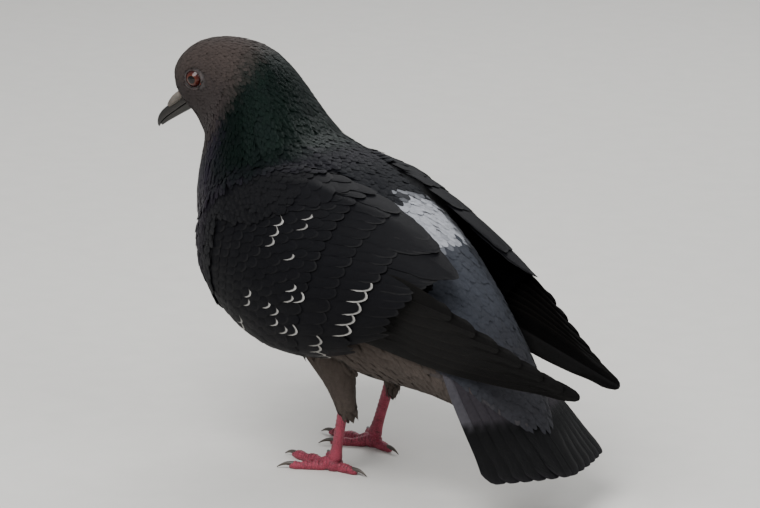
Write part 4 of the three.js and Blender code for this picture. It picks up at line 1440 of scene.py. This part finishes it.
# %% Lay the primaries of both wings
for word, leg in LEGS.items():
    side = leg["side"]
    s = np.arange(PRIMARIES) / (PRIMARIES - 1)
    outward = PRIMARY_STEP * np.arange(PRIMARIES)
    high = REAR_RISE[side] * s
    low_root = lerp((ROOT_X, *ROOT_LOW), (ROOT_X, *ROOT_HIGH), s)
    roots = low_root + np.stack([0 * s, outward, high], -1)
    reach = s**CROWDED
    tips = lerp(TIP_FAR, TIP_NEAR, reach)
    tips[:, 2] = TIP_FAR[2] + (TIP_NEAR[2] - TIP_FAR[2]) * reach**STEPPED
    tips += np.stack([0 * s, outward, high], -1)
    roots += (roots - tips) * HIDDEN_SHARE
    roots[:, 1] *= side
    tips[:, 1] *= side
    way = unit(tips - roots)
    upright = np.array([0, side * FACES_LEAN, 1.0])
    across = unit(np.cross(np.cross(upright[None], way), way))
    face = unit(np.cross(way, across))
    face *= np.sign(face[:, 1] * side)[:, None]
    half = PRIMARY_HALF * (1 - 0.05 * s)
    batch = quill_batch(roots, tips, across, face, half, PRIMARY_THICK, PRIMARY_SHAFT, 0.0)
    count, points = batch["share"].shape
    edge = smoothstep(np.abs(batch["column"]), 0.8, 1) * 0.6
    batch["colour"] = blend(
        np.broadcast_to(PRIMARY_BLACK, (count, points, 3)), PRIMARY_EDGE, edge
    )
    batch["gloss"] = np.full((count, points), 0.1)
    batch["pale"] = np.zeros((count, points))
    batch["tone"] = np.repeat(rng.normal(1, 0.05, (count, 1)), points, 1)
    coat_piece(f"quills_primary_{word}", [batch], FLIGHT_FINISH,
               [f"primaries_{word}"], strip_patches)

# %% The tail
TAIL_ROOT = (82, 92)
TAIL_SLOPE = math.radians(44)
TAIL_LENGTH = 102
FAN_STEP = 2.9
TAIL_HALF = 10
TAIL_THICK, TAIL_SHAFT, TAIL_BOW = 0.45, 0.4, 0.8
TAIL_LAYER, TAIL_SAG = 0.95, 0.12  # below one feather lies the next, out from the middle pair
AT_ROOT, AT_TIP = 0.6, 0.4  # how that drop is shared between the root and the length
RIGHT_LOWER = 0.35  # of a layer, so that the two sides' feathers pass each other
ROOT_STEP, TIP_STEP, TILT_STEP = 1.4, 1.1, 0.05  # from one feather to the next one out

ahead = np.array([math.cos(TAIL_SLOPE), 0, -math.sin(TAIL_SLOPE)])
above = np.array([math.sin(TAIL_SLOPE), 0, math.cos(TAIL_SLOPE)])
roots, tips, across, faces_up, outermost = [], [], [], [], []
for side in (-1, 1):
    for i in range(6):
        fan = math.radians(FAN_STEP * (i + 0.5))
        way = ahead * math.cos(fan) + np.array([0, side * math.sin(fan), 0])
        under = -TAIL_LAYER * (i + (0 if side < 0 else RIGHT_LOWER)) - TAIL_SAG * i * i
        root = np.array([TAIL_ROOT[0], side * ROOT_STEP * i, TAIL_ROOT[1]])
        root = root + above * under * AT_ROOT
        tip = root + way * (TAIL_LENGTH - TIP_STEP * i) + above * under * AT_TIP
        tilt = unit(above + np.array([0, side * TILT_STEP * i, 0]))
        roots.append(root)
        tips.append(tip)
        across.append(unit(np.cross(way, tilt)))
        faces_up.append(tilt)
        outermost.append(side * (i == 5))
tail_shape = dict(QUILL_SHAPE, tip=0.72, arc=0.07)
batch = quill_batch(
    np.array(roots), np.array(tips), np.array(across), np.array(faces_up),
    np.full(12, float(TAIL_HALF)), TAIL_THICK, TAIL_SHAFT, TAIL_BOW, tail_shape,
)

# %% The colours of the tail
TAIL_GREY = linear("#2b282c")
TAIL_BAND = linear("#050506")
TAIL_WHITE = linear("#6b6a70")
BAND_FROM = 0.675  # share of a feather's length where the black band starts
WORN_TIP = 0.25  # how grey the tips are
WEB_WHITE = 0.25  # how white the outer web of the outermost pair is

share, column = batch["share"], batch["column"]
band = smoothstep(share + 0.012 * np.sin(40 * column), BAND_FROM - 0.02, BAND_FROM + 0.02)
worn_tip = WORN_TIP * smoothstep(share, 0.975, 1)
colours = blend(np.broadcast_to(TAIL_GREY, (*share.shape, 3)), TAIL_BAND, band)
colours = blend(colours, TAIL_GREY, worn_tip)
outer_web = np.array(outermost)[:, None] * -np.sign(column) * (np.abs(column) > 0.2)
colours = blend(colours, TAIL_WHITE, np.clip(outer_web, 0, 1) * (1 - band) * WEB_WHITE)
batch["colour"] = colours
batch["gloss"] = np.full(share.shape, 0.08)
batch["pale"] = np.zeros(share.shape)
batch["tone"] = np.repeat(rng.normal(1, 0.04, (12, 1)), share.shape[1], 1)
coat_piece("quills_tail", [batch], TAIL_FINISH, ["tail"], strip_patches)

# %% [markdown]
# ## Bill and cere
#
# The bill is two horny sheaths that meet in a fine line. The upper one has a rounded ridge,
# swells towards its end and hooks over the lower one. A soft white cere of two lobes sits over
# the nostrils at its root. Horn has even, tapering sections, so each half is a loft through
# rings; the cere is soft and lumpy, so its two lobes are remeshed into one.

# %% Closed lofts through rings of points
def loft(rings):
    """A closed surface through rings of equally many points, with a face over each end."""
    count, sides = rings.shape[:2]
    grid = np.arange(count * sides).reshape(count, sides)
    ahead = np.roll(grid, -1, axis=1)
    quads = np.stack([grid[:-1], ahead[:-1], ahead[1:], grid[1:]], -1).reshape(-1, 4)
    return rings.reshape(-1, 3), quads, [list(grid[0][::-1]), list(grid[-1])]


def capped(rings):
    """A loft as points and triangles, its ends closed, ready to be remeshed with others."""
    points, quads, ends = loft(rings)
    caps = [[end[0], end[i], end[i + 1]] for end in ends for i in range(1, len(end) - 1)]
    return points, np.vstack([triangles_of(quads), caps])


def loft_piece(name, rings, material):
    """A loft as a piece, its end faces filled."""
    points, quads, ends = loft(rings)
    piece = make_piece(name, points, quads, material)
    solid = bmesh.new()
    solid.from_mesh(piece.data)
    solid.verts.ensure_lookup_table()
    for end in ends:
        face = solid.faces.new([solid.verts[i] for i in end])
        face.smooth = True
    bmesh.ops.recalc_face_normals(solid, faces=solid.faces)
    solid.to_mesh(piece.data)
    solid.free()
    return piece


def tube_rings(path, radii, sides):
    """Rings across a path. radii are the sideways and the upright radius at each point."""
    ahead = unit(np.gradient(path, axis=0))
    side = unit(np.cross([0, 0, 1], ahead))
    up = np.cross(ahead, side)
    angle = 2 * math.pi * (np.arange(sides) + 0.5) / sides
    wide = side[:, None] * (radii[:, :1] * np.cos(angle))[..., None]
    tall = up[:, None] * (radii[:, 1:] * np.sin(angle))[..., None]
    return path[:, None] + wide + tall


# %% The horn of the bill and claws
def horn_finish(name, dark, pale, growth_mm):
    """Keratin in a solid sheath: smooth, a little waxy, streaked along its growth."""
    material, tree, shader = new_material(name)
    place = node(tree, "TexCoord").outputs["Object"]
    streaks = node(
        tree, "TexNoise",
        {"Vector": place, "Scale": 1 / (growth_mm * MM), "Detail": 5, "Roughness": 0.6},
    ).outputs["Fac"]
    worn = node(tree, "Attribute", attribute_name="worn").outputs["Fac"]
    share = node(tree, "Math", {0: streaks, 1: 0.35, 2: worn}, operation="MULTIPLY_ADD")
    ramp = node(tree, "ValToRGB", {"Fac": share.outputs[0]}, [(0.15, dark), (1.0, pale)])
    bump = node(tree, "Bump", {"Height": streaks, "Strength": 0.35, "Distance": 0.0001})
    rough = node(tree, "MapRange", {"Value": streaks, "To Min": 0.38, "To Max": 0.56})
    plug(tree, shader, {
        "Base Color": ramp.outputs["Color"], "Roughness": rough.outputs[0],
        "Normal": bump.outputs[0], "IOR": KERATIN_IOR,
    })
    return material


BILL_HORN = horn_finish("keratin_horn_bill_waxy", "#0b0a08", "#27221c", 0.8)
CLAW_HORN = horn_finish("keratin_horn_claw_waxy", "#1d1a18", "#5b5248", 0.6)

# %% The two halves of the bill
BILL_SIDES = 28
BILL_RINGS = 40
UPPER_BILL = [  # forward, upper edge, lower edge, half width
    (8, -2.4, -7.15, 4.2), (12, -2.3, -7.15, 4.1), (16, -2.5, -7.1, 3.8), (20, -2.9, -7.1, 3.3),
    (24, -2.9, -7.15, 2.9), (28, -3.3, -7.3, 2.4), (31, -4.3, -7.7, 1.8), (33.2, -5.9, -8.5, 1.2),
    (34.4, -7.6, -9.1, 0.55),
]
LOWER_BILL = [
    (8, -7.2, -10.7, 4.0), (12, -7.2, -10.8, 3.8), (16, -7.15, -10.5, 3.4), (20, -7.15, -10.1, 2.9),
    (24, -7.2, -9.8, 2.4), (28, -7.35, -9.5, 1.8), (31, -7.75, -9.4, 1.2), (32.6, -8.3, -9.4, 0.6),
]


def bill_rings(rows, widest):
    """Rings across half a bill, widest at a share of its height from the lower edge."""
    forward, upper, lower, half = through(rows, np.linspace(0, 1, BILL_RINGS)).T[..., None]
    angle = 2 * math.pi * (np.arange(BILL_SIDES) + 0.5) / BILL_SIDES
    upward = np.cos(angle)[None]
    middle = lower + (upper - lower) * widest
    reach = np.where(upward > 0, upper - middle, middle - lower)
    up = middle + upward * reach
    out = half * np.sign(np.sin(angle))[None] * np.abs(np.sin(angle))[None] ** 0.9
    return on_head(forward, up, out)


for name, rows, widest in (("bill_horn_upper", UPPER_BILL, 0.06),
                           ("bill_horn_lower", LOWER_BILL, 0.94)):
    piece = loft_piece(name, bill_rings(rows, widest), BILL_HORN)
    worn = np.repeat(np.linspace(0.5, 0.0, BILL_RINGS), BILL_SIDES)
    add_number(piece.data, "worn", worn)
    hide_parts("bill_upper" if "upper" in name else "bill_lower")
    print(f"{name}:", len(piece.data.polygons), "faces")

# %% The finish of soft skin
SKIN_IOR = 1.42


def soft_finish(name, tint, deep, grain_mm, relief, matt):
    """Bare skin: fine wrinkles whose folds are darkened as painted shade, and broad patches of tone.
    """
    material, tree, shader = new_material(name)
    place = node(tree, "TexCoord").outputs["Object"]
    per_metre = 1 / (grain_mm * MM)
    grain = node(
        tree, "TexNoise", {"Vector": place, "Scale": per_metre, "Detail": 6, "Roughness": 0.65}
    ).outputs["Fac"]
    patches = node(tree, "TexNoise", {"Vector": place, "Scale": 0.12 * per_metre, "Detail": 2})
    # The colour goes towards deep where the grain is low: in the wrinkles' folds that is painted
    # shade, in the broad patches it is the skin's own tone.
    both = node(tree, "Math", {0: grain, 1: patches.outputs["Fac"]}, operation="ADD")
    share = node(tree, "MapRange", {"Value": both.outputs[0], "From Min": 0.7, "From Max": 1.25})
    ramp = node(tree, "ValToRGB", {"Fac": share.outputs[0]}, [(0.0, deep), (1.0, tint)])
    bump = node(tree, "Bump", {"Height": grain, "Strength": relief, "Distance": 0.00025})
    plug(tree, shader, {
        "Base Color": ramp.outputs["Color"], "Normal": bump.outputs[0], "Roughness": matt,
        "IOR": SKIN_IOR, "Subsurface Weight": 0.08, "Subsurface Scale": MM,
    })
    return material


# %% The cere
CERE_FROM, CERE_LONG = 11, 12.6  # forward of the eyes, and how long it is
CERE_OUT, CERE_TAPER = 2.1, 0.5
CERE_WIDE, CERE_TALL = 2.25, 2.2
CERE_VOXEL = 0.22
CERE_FINISH = soft_finish("cere_skin_powdery", "#7f7971", "#514c47", 0.5, 0.6, 0.8)
lobes = []
for side in (-1, 1):
    shares = np.linspace(0, 1, 24)  # along a lobe, from the brow to the nostril
    out = side * (CERE_OUT - CERE_TAPER * shares)
    path = on_head(CERE_FROM + CERE_LONG * shares, -2.0 - 1.5 * shares**2, out)
    swell = np.sin(np.pi * (0.1 + 0.8 * shares)) ** 0.7
    radii = np.stack([CERE_WIDE * swell, CERE_TALL * swell], -1)
    lobes.append(capped(tube_rings(path, radii, 18)))
cere_points, cere_quads, _ = remeshed("cere_rough", lobes, CERE_VOXEL, 4)
cere_piece = make_piece("cere_lobes", cere_points, cere_quads, CERE_FINISH)
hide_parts("cere")
print("cere_lobes:", len(cere_quads), "faces")

# %% [markdown]
# ## Eyes
#
# A pigeon's eye is an orange-red ring round a black pupil under a clear, strongly curved
# cornea, and most of the ball is inside the head. Real glass over a modelled iris would be
# truest, but it is noisy and slow to light. Here one ball carries the rings of colour, drawn
# round the eye's own axis, with a clear coat over them that gives the wet highlight. A ring
# of bare grey skin with fine folds frames it, and is fitted to the ball and the head.

# %% The eye's own axes
EYE_RADIUS = 5.15
EYE_RINGS, EYE_SIDES = 40, 48
EYE_ANGLES = 2 * math.pi * np.arange(EYE_SIDES) / EYE_SIDES
CORNEA_BULGE = 0.35


def eye_axes(side):
    """The eye's middle, the way it looks, and directions all round that."""
    middle = on_head(0, 0, side * EYE_OUT)
    looks = unit(on_head(1.6, 0.2, side * (EYE_OUT + 10)) - middle)
    across = unit(np.cross(looks, [0, 0, 1]))
    up = np.cross(looks, across)
    spokes = across * np.cos(EYE_ANGLES)[:, None] + up * np.sin(EYE_ANGLES)[:, None]
    return middle, looks, spokes


# %% The finish of the eye
CORNEA_IOR = 1.376
IRIS_RINGS = [  # from the middle of the pupil outwards, as a share of 5 mm
    (0.0, "#050404"), (0.43, "#050404"), (0.46, "#4f2612"), (0.55, "#45170a"),
    (0.72, "#350c07"), (0.84, "#1a0806"), (0.9, "#0a0706"),
]


def eye_finish():
    """Iris and pupil under a wet cornea: the colour of each ring, and a clear coat over it."""
    material, tree, shader = new_material("iris_under_wet_cornea")
    ring = node(tree, "Attribute", attribute_name="ring").outputs["Fac"]
    spoke = node(tree, "Attribute", attribute_name="spoke").outputs["Fac"]
    place = node(tree, "CombineXYZ", {"X": spoke, "Y": ring})
    streaks = node(tree, "TexNoise", {"Vector": place.outputs[0], "Scale": 3.0, "Detail": 4})
    moved = node(
        tree, "Math", {0: streaks.outputs["Fac"], 1: 0.5, 2: ring}, operation="MULTIPLY_ADD"
    )
    share = node(tree, "MapRange", {"Value": moved.outputs[0], "From Max": 5.0})
    ramp = node(tree, "ValToRGB", {"Fac": share.outputs[0]}, IRIS_RINGS)
    plug(tree, shader, {
        "Base Color": ramp.outputs["Color"], "Roughness": 0.5, "IOR": CORNEA_IOR,
        "Specular IOR Level": 0.1, "Coat Weight": 1.0, "Coat Roughness": 0.03,
        "Coat IOR": CORNEA_IOR,
    })
    return material


EYE_FINISH = eye_finish()
LID_FINISH = soft_finish("orbital_skin_folded", "#463f3e", "#282322", 0.35, 0.8, 0.65)


# %% The eyeball
def eyeball(word, side):
    """A ball with a bulging front. ring is mm off its axis, with 9 added on the dark back."""
    middle, looks, spokes = eye_axes(side)
    polar = np.linspace(0.02, math.pi - 0.02, EYE_RINGS)
    bulge = CORNEA_BULGE * (1 - smoothstep(np.degrees(polar), 20, 50))
    rings = (
        middle + looks * (np.cos(polar) * (EYE_RADIUS + bulge))[:, None, None]
        + spokes[None] * (np.sin(polar) * EYE_RADIUS)[:, None, None]
    )
    ball = loft_piece(f"eyeball_{word}", rings, EYE_FINISH)
    ring = np.repeat(np.sin(polar) * EYE_RADIUS + 9 * (polar > math.pi / 2), EYE_SIDES)
    add_number(ball.data, "ring", ring)
    add_number(ball.data, "spoke", np.tile(np.sin(3 * EYE_ANGLES) * 2, EYE_RINGS))
    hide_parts(f"eye_{word}")


# %% The ring of bare skin round the eye
LID_POINTS = 28
LID_RIM = (3.6, 4.9)  # towards the look and off it, of the fold where the feathers start
LID_EDGE = (3.0, 5.7)  # and of the outer edge, under the feathers


def lid_section(side, middle, looks, way, angle):
    """A closed section across the lid: over its free edge, out to the feathers, and back."""
    def on_ball(degrees, out):
        bent = math.radians(degrees)
        return middle + (EYE_RADIUS + out) * (looks * math.cos(bent) + way * math.sin(bent))

    fold = 0.1 * math.sin(5 * angle) + 0.07 * math.sin(13 * angle + side)
    places = [middle + looks * ahead + way * out for ahead, out in (LID_RIM, LID_EDGE)]
    on_rim, normals, _ = lay_on_skin(np.array(places))
    section = [
        on_ball(70, -0.3), on_ball(53, -0.1), on_ball(50.5, 0.25), on_ball(54, 0.62 + fold),
        on_rim[0] + normals[0] * (0.75 - fold), on_rim[1] + normals[1] * 0.15,
        on_rim[1] - normals[1] * 0.8, on_ball(80, -0.2),
    ]
    return through(section + [section[0]], np.linspace(0, 1, LID_POINTS + 1)[:-1])


def eyelid(word, side):
    middle, looks, spokes = eye_axes(side)
    rings = [lid_section(side, middle, looks, way, a) for way, a in zip(spokes, EYE_ANGLES)]
    grid = np.arange(EYE_SIDES * LID_POINTS).reshape(EYE_SIDES, LID_POINTS)
    beside = np.roll(grid, -1, axis=0)
    quads = np.stack([grid, np.roll(grid, -1, 1), np.roll(beside, -1, 1), beside], -1)
    quads = quads.reshape(-1, 4)
    if side > 0:
        quads = quads[:, ::-1]
    make_piece(f"eyelid_{word}", np.vstack(rings), quads, LID_FINISH)


for word, leg in LEGS.items():
    eyeball(word, leg["side"])
    eyelid(word, leg["side"])
    print(f"eye_{word}:", EYE_RINGS, "rings in the ball,", EYE_SIDES, "round the lid")

# %% [markdown]
# ## Legs, feet and claws
#
# A pigeon's bare legs are pink-red. Broad plates called scutes run down the front of the
# shank and along the top of each toe, and small round scales cover the rest. The large plates
# change the outline, so they are raised on the mesh itself; the small scales are too fine for
# that and are in the finish. Shank, ball and toes are remeshed into one skin first, so that no
# seam shows where they meet. The claws are horn and stay pieces of their own.

# %% The skin of the legs
SCALE_WIDTH = 0.9  # mm, of the small scales between the plates


def leg_finish():
    """Scaly skin: tight plates, darker red in the grooves as painted shade, and a little waxy on
    top.
    """
    material, tree, shader = new_material("leg_skin_scaly")
    place = node(tree, "TexCoord").outputs["Object"]
    scales = node(
        tree, "TexVoronoi", {"Vector": place, "Scale": 1 / (SCALE_WIDTH * MM)},
        feature="DISTANCE_TO_EDGE",
    )
    groove = node(tree, "Attribute", attribute_name="groove").outputs["Fac"]
    plate = node(tree, "MapRange", {"Value": scales.outputs["Distance"], "From Max": 0.25})
    # The colour darkens at the edges of the small scales and in the grooves between the large
    # plates: painted shade.
    on_plate = node(tree, "Math", {0: plate.outputs[0], 1: groove}, operation="MULTIPLY")
    mottle = node(tree, "TexNoise", {"Vector": place, "Scale": 1 / (4 * MM), "Detail": 4})
    share = node(
        tree, "Math", {0: on_plate.outputs[0], 1: 0.75, 2: mottle.outputs["Fac"]},
        operation="MULTIPLY_ADD",
    )
    ramp = node(
        tree, "ValToRGB", {"Fac": share.outputs[0]}, [(0.35, "#4a131c"), (1.0, "#9c3a4e")]
    )
    bump = node(tree, "Bump", {"Height": plate.outputs[0], "Strength": 0.5, "Distance": 0.0002})
    plug(tree, shader, {
        "Base Color": ramp.outputs["Color"], "Normal": bump.outputs[0], "Roughness": 0.5,
        "IOR": 1.45, "Subsurface Weight": 0.06, "Subsurface Scale": MM,
    })
    return material


LEG_SKIN = leg_finish()

# %% The shape of a toe
TOES = [  # name, length, degrees from straight ahead, pads, radius
    ("hind", 13.5, 187, 1, 2.5), ("inner", 21, -37, 2, 2.6),
    ("middle", 29, -2, 3, 2.8), ("outer", 21.5, 38, 4, 2.5),
]
CLAW_LENGTH = 7
SHANK_RADIUS = 2.35
BALL_HEIGHT = 5.4


def toe_way(leg, degrees):
    turn_by = math.radians(degrees)
    return np.array([-math.cos(turn_by), leg["side"] * math.sin(turn_by), 0])


def toe_radius(toe, share):
    pads, radius = toe[3], toe[4]
    swell = 1 + 0.1 * np.cos(2 * math.pi * pads * (share - 0.5 / pads))
    return radius * (1 - 0.26 * share) * swell


def toe_path(leg, toe, shares):
    ball = np.array([*leg["ball"], BALL_HEIGHT], float)
    path = ball + toe_way(leg, toe[2]) * (toe[1] * shares)[:, None]
    low = toe_radius(toe, shares) * 0.84
    sink = smoothstep(shares, 0, 0.3)
    path[:, 2] = (BALL_HEIGHT - 1.2) * (1 - sink) + low * sink
    return path


# %% The flesh of a leg
BALL_SIZE = (4.2, 4.4, 3.7)  # the ball under the toes, to the front, sideways and upwards
BALL_MIDDLE = 3.1
ANKLE_SWELL = 0.42  # how much thicker the shank is at both ends
LEG_VOXEL = 0.4


def ball_rings(leg):
    polar = np.linspace(0.05, math.pi - 0.05, 16)[:, None]
    angle = 2 * math.pi * np.arange(20) / 20
    return np.stack([
        leg["ball"][0] + BALL_SIZE[0] * np.sin(polar) * np.cos(angle),
        leg["ball"][1] + BALL_SIZE[1] * np.sin(polar) * np.sin(angle),
        BALL_MIDDLE + BALL_SIZE[2] * np.cos(polar) + 0 * angle,
    ], -1)


def leg_flesh(word, leg, foot, ankle):
    """Shank, ball and toes, remeshed into one skin."""
    shares = np.linspace(0, 1, 26)
    path = foot + (ankle - foot) * shares[:, None]
    joint = 1 + ANKLE_SWELL * (2 * shares - 1) ** 4
    radii = SHANK_RADIUS * joint[:, None] * [1, 1.14]
    parts = [capped(tube_rings(path, radii, 18)), capped(ball_rings(leg))]
    shares = np.linspace(0, 1, 30)
    for toe in TOES:
        radius = toe_radius(toe, shares) * (1 - 0.3 * smoothstep(shares, 0.85, 1))
        radii = np.stack([radius * 0.95, radius], -1)
        parts.append(capped(tube_rings(toe_path(leg, toe, shares), radii, 14)))
    return remeshed(f"foot_rough_{word}", parts, LEG_VOXEL, 4)


# %% Plates on the legs
SCUTE = {"shank": 2.4, "toe": 1.8, "rise": 0.34}  # length of a plate, and its height


def plated(points, normals, axes):
    """The step of the plate at each point, from 1 to 0, and how far it is on a plated side."""
    best = np.full(len(points), 99.0)
    phase = np.zeros(len(points))
    fronts = np.zeros(len(points))
    for k, (start, end, pitch) in enumerate(axes):
        run = end - start
        share = np.clip(((points - start) @ run) / (run @ run), 0, 1)
        away = np.linalg.norm(points - start - share[:, None] * run, axis=1)
        nearer = away < best
        best = np.where(nearer, away, best)
        phase = np.where(nearer, share * np.linalg.norm(run) / pitch % 1, phase)
        facing = -normals[:, 0] if k == 0 else normals[:, 2]
        fronts = np.where(nearer, smoothstep(facing, 0.0, 0.45), fronts)
    return (1 - phase) * smoothstep(phase, 0, 0.18), fronts


def leg_piece(word, leg):
    foot = np.array([leg["ball"][0] + 0.8, leg["ball"][1], BALL_HEIGHT + 1.2])
    ankle = from_ball(leg, ANKLE) + [-1.2, 0.7 * leg["side"], 6]
    points, quads, normals = leg_flesh(word, leg, foot, ankle)
    ends = np.array([0.0, 1.0])
    axes = [(foot, ankle, SCUTE["shank"])]
    axes += [(*toe_path(leg, toe, ends), SCUTE["toe"]) for toe in TOES]
    step, fronts = plated(points, normals, axes)
    points = points + normals * (SCUTE["rise"] * (step - 0.4) * fronts)[:, None]
    points[:, 2] = np.maximum(points[:, 2], 0)
    piece = make_piece(f"leg_{word}", points, quads, LEG_SKIN)
    # groove is 0 in the grooves between the plates, where the finish paints shade.
    add_number(piece.data, "groove", 1 - fronts * (1 - smoothstep(step, 0.0, 0.45)))
    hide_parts(f"shank_{word}", f"foot_{word}")
    print(f"leg_{word}: {len(quads)} faces")


# %% Claws
CLAW_SIDES = 16
CLAW_HIDDEN = 2.4  # mm inside the toe


def claws(word, leg):
    shares = np.linspace(0, 1, 18)
    radii = np.stack([1.2 - 1.05 * shares**1.2, 1.45 - 1.25 * shares], -1)
    for toe in TOES:
        way = toe_way(leg, toe[2])
        path = np.array([*leg["ball"], 0.0]) + way * (toe[1] - CLAW_HIDDEN)
        path = path + way * ((CLAW_LENGTH + 1.2) * shares)[:, None]
        path[:, 2] = 2.25 + 0.6 * np.sin(math.pi * shares) - 1.6 * shares**2
        rings = tube_rings(path, radii, CLAW_SIDES)
        rings[..., 2] = np.maximum(rings[..., 2], 0.02)
        claw = loft_piece(f"nail_{word}_{toe[0]}", rings, CLAW_HORN)
        add_number(claw.data, "worn", np.repeat(0.25 + 0.3 * shares, CLAW_SIDES))
        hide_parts(f"claw_{word}_{toe[0]}")


for word, leg in LEGS.items():
    leg_piece(word, leg)
    claws(word, leg)
print(len(TOES), "claws on each foot")

# %% [markdown]
# ## Floor, light and camera
#
# A pale plain floor and soft light show a dark bird best: small hard lamps would leave
# glints and black holes between the feathers. Three large discs do it, a key from the
# camera's side, a weak fill and one from behind that draws the outline. The camera has a long
# lens, which keeps the bird's proportions, and looks at it from behind its left side and a
# little above. Its distance is worked out so that the bird fills the picture's height.

# %% The floor
def floor_finish():
    """Matt painted board: nearly even, with the faint mottle of a roller."""
    material, tree, shader = new_material("painted_board_rolled_matt")
    place = node(tree, "TexCoord").outputs["Object"]
    mottle = node(tree, "TexNoise", {"Vector": place, "Scale": 60, "Detail": 6})
    ramp = node(
        tree, "ValToRGB", {"Fac": mottle.outputs["Fac"]}, [(0.0, "#cfcdc8"), (1.0, "#d8d6d1")]
    )
    plug(tree, shader, {"Base Color": ramp.outputs["Color"], "Roughness": 0.9})
    return material


FLOOR_HALF = 6.0
floor_mesh = bpy.data.meshes.new("floor")
corners = [(-FLOOR_HALF, -FLOOR_HALF, 0), (FLOOR_HALF, -FLOOR_HALF, 0),
           (FLOOR_HALF, FLOOR_HALF, 0), (-FLOOR_HALF, FLOOR_HALF, 0)]
floor_mesh.from_pydata(corners, [], [(0, 1, 2, 3)])
floor_mesh.materials.append(floor_finish())
floor = bpy.data.objects.new("floor", floor_mesh)
bpy.context.scene.collection.objects.link(floor)
floor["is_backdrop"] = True

# %% Lights
TARGET = Vector((0.0, 0.0, 0.1))  # metres, about the middle of the bird
LIGHTS = [  # name, azimuth, elevation, distance in metres, size in metres, watts
    ("key", 20, 52, 1.6, 1.2, 32),
    ("fill", 95, 30, 1.8, 1.4, 10),
    ("back", 215, 48, 1.7, 1.0, 15),
]


def back_from(azimuth, elevation):
    """The way from the bird towards a lamp or camera at this azimuth and elevation."""
    a, e = math.radians(azimuth), math.radians(elevation)
    return Vector((math.sin(a) * math.cos(e), -math.cos(a) * math.cos(e), math.sin(e)))


for name, azimuth, elevation, distance, size, watts in LIGHTS:
    lamp = bpy.data.lights.new(name, "AREA")
    lamp.shape = "DISK"
    lamp.size = size
    lamp.energy = watts
    holder = bpy.data.objects.new(name, lamp)
    holder.location = TARGET + back_from(azimuth, elevation) * distance
    holder.rotation_mode = "QUATERNION"
    holder.rotation_quaternion = back_from(azimuth, elevation).to_track_quat("Z", "Y")
    bpy.context.scene.collection.objects.link(holder)
print(len(LIGHTS), "lamps")

# %% The room's own light
world = bpy.data.worlds.new("studio")
bpy.context.scene.world = world
world.use_nodes = True
world.node_tree.nodes["Background"].inputs["Color"].default_value = rgba("#dfe2e6")
world.node_tree.nodes["Background"].inputs["Strength"].default_value = 0.5

# %% Camera
VIEW_AZIMUTH = 45
VIEW_ELEVATION = 14
LENS = 180
SENSOR = 36
PICTURE = (760, 508)  # the shape of the picture, wide and high
FILLS = 0.88  # of the picture's height
EACH = 7  # every so many points are enough to find the bird's extent

low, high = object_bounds()
middle = (low + high) / 2
back_way = back_from(VIEW_AZIMUTH, VIEW_ELEVATION)
up_way = back_from(VIEW_AZIMUTH, VIEW_ELEVATION + 90)
right_way = up_way.cross(back_way)
shown = []
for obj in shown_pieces():
    points = np.empty(len(obj.data.vertices) * 3)
    obj.data.vertices.foreach_get("co", points)
    shown.append(points.reshape(-1, 3)[::EACH])
shown = np.vstack(shown)
seen_up = shown @ np.array(up_way)
seen_right = shown @ np.array(right_way)
tall = np.ptp(seen_up)
centre = (
    up_way * float(seen_up.max() + seen_up.min()) / 2
    + right_way * float(seen_right.max() + seen_right.min()) / 2
    + back_way * middle.dot(back_way)
)
picture_width = tall / FILLS * PICTURE[0] / PICTURE[1]
camera_data = bpy.data.cameras.new("camera")
camera_data.lens = LENS
camera_data.sensor_width = SENSOR
camera = bpy.data.objects.new("camera", camera_data)
camera.location = centre + back_way * (picture_width * LENS / SENSOR)
camera.rotation_mode = "QUATERNION"
camera.rotation_quaternion = back_way.to_track_quat("Z", "Y")
camera_data.clip_end = 100
bpy.context.scene.collection.objects.link(camera)
bpy.context.scene.camera = camera
print("the bird is", round(1000 * tall), "mm tall in the camera's view")

# %% The number of triangles
triangles = 0
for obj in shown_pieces():
    triangles += sum(len(face.vertices) - 2 for face in obj.data.polygons)
print("triangles in all:", triangles)
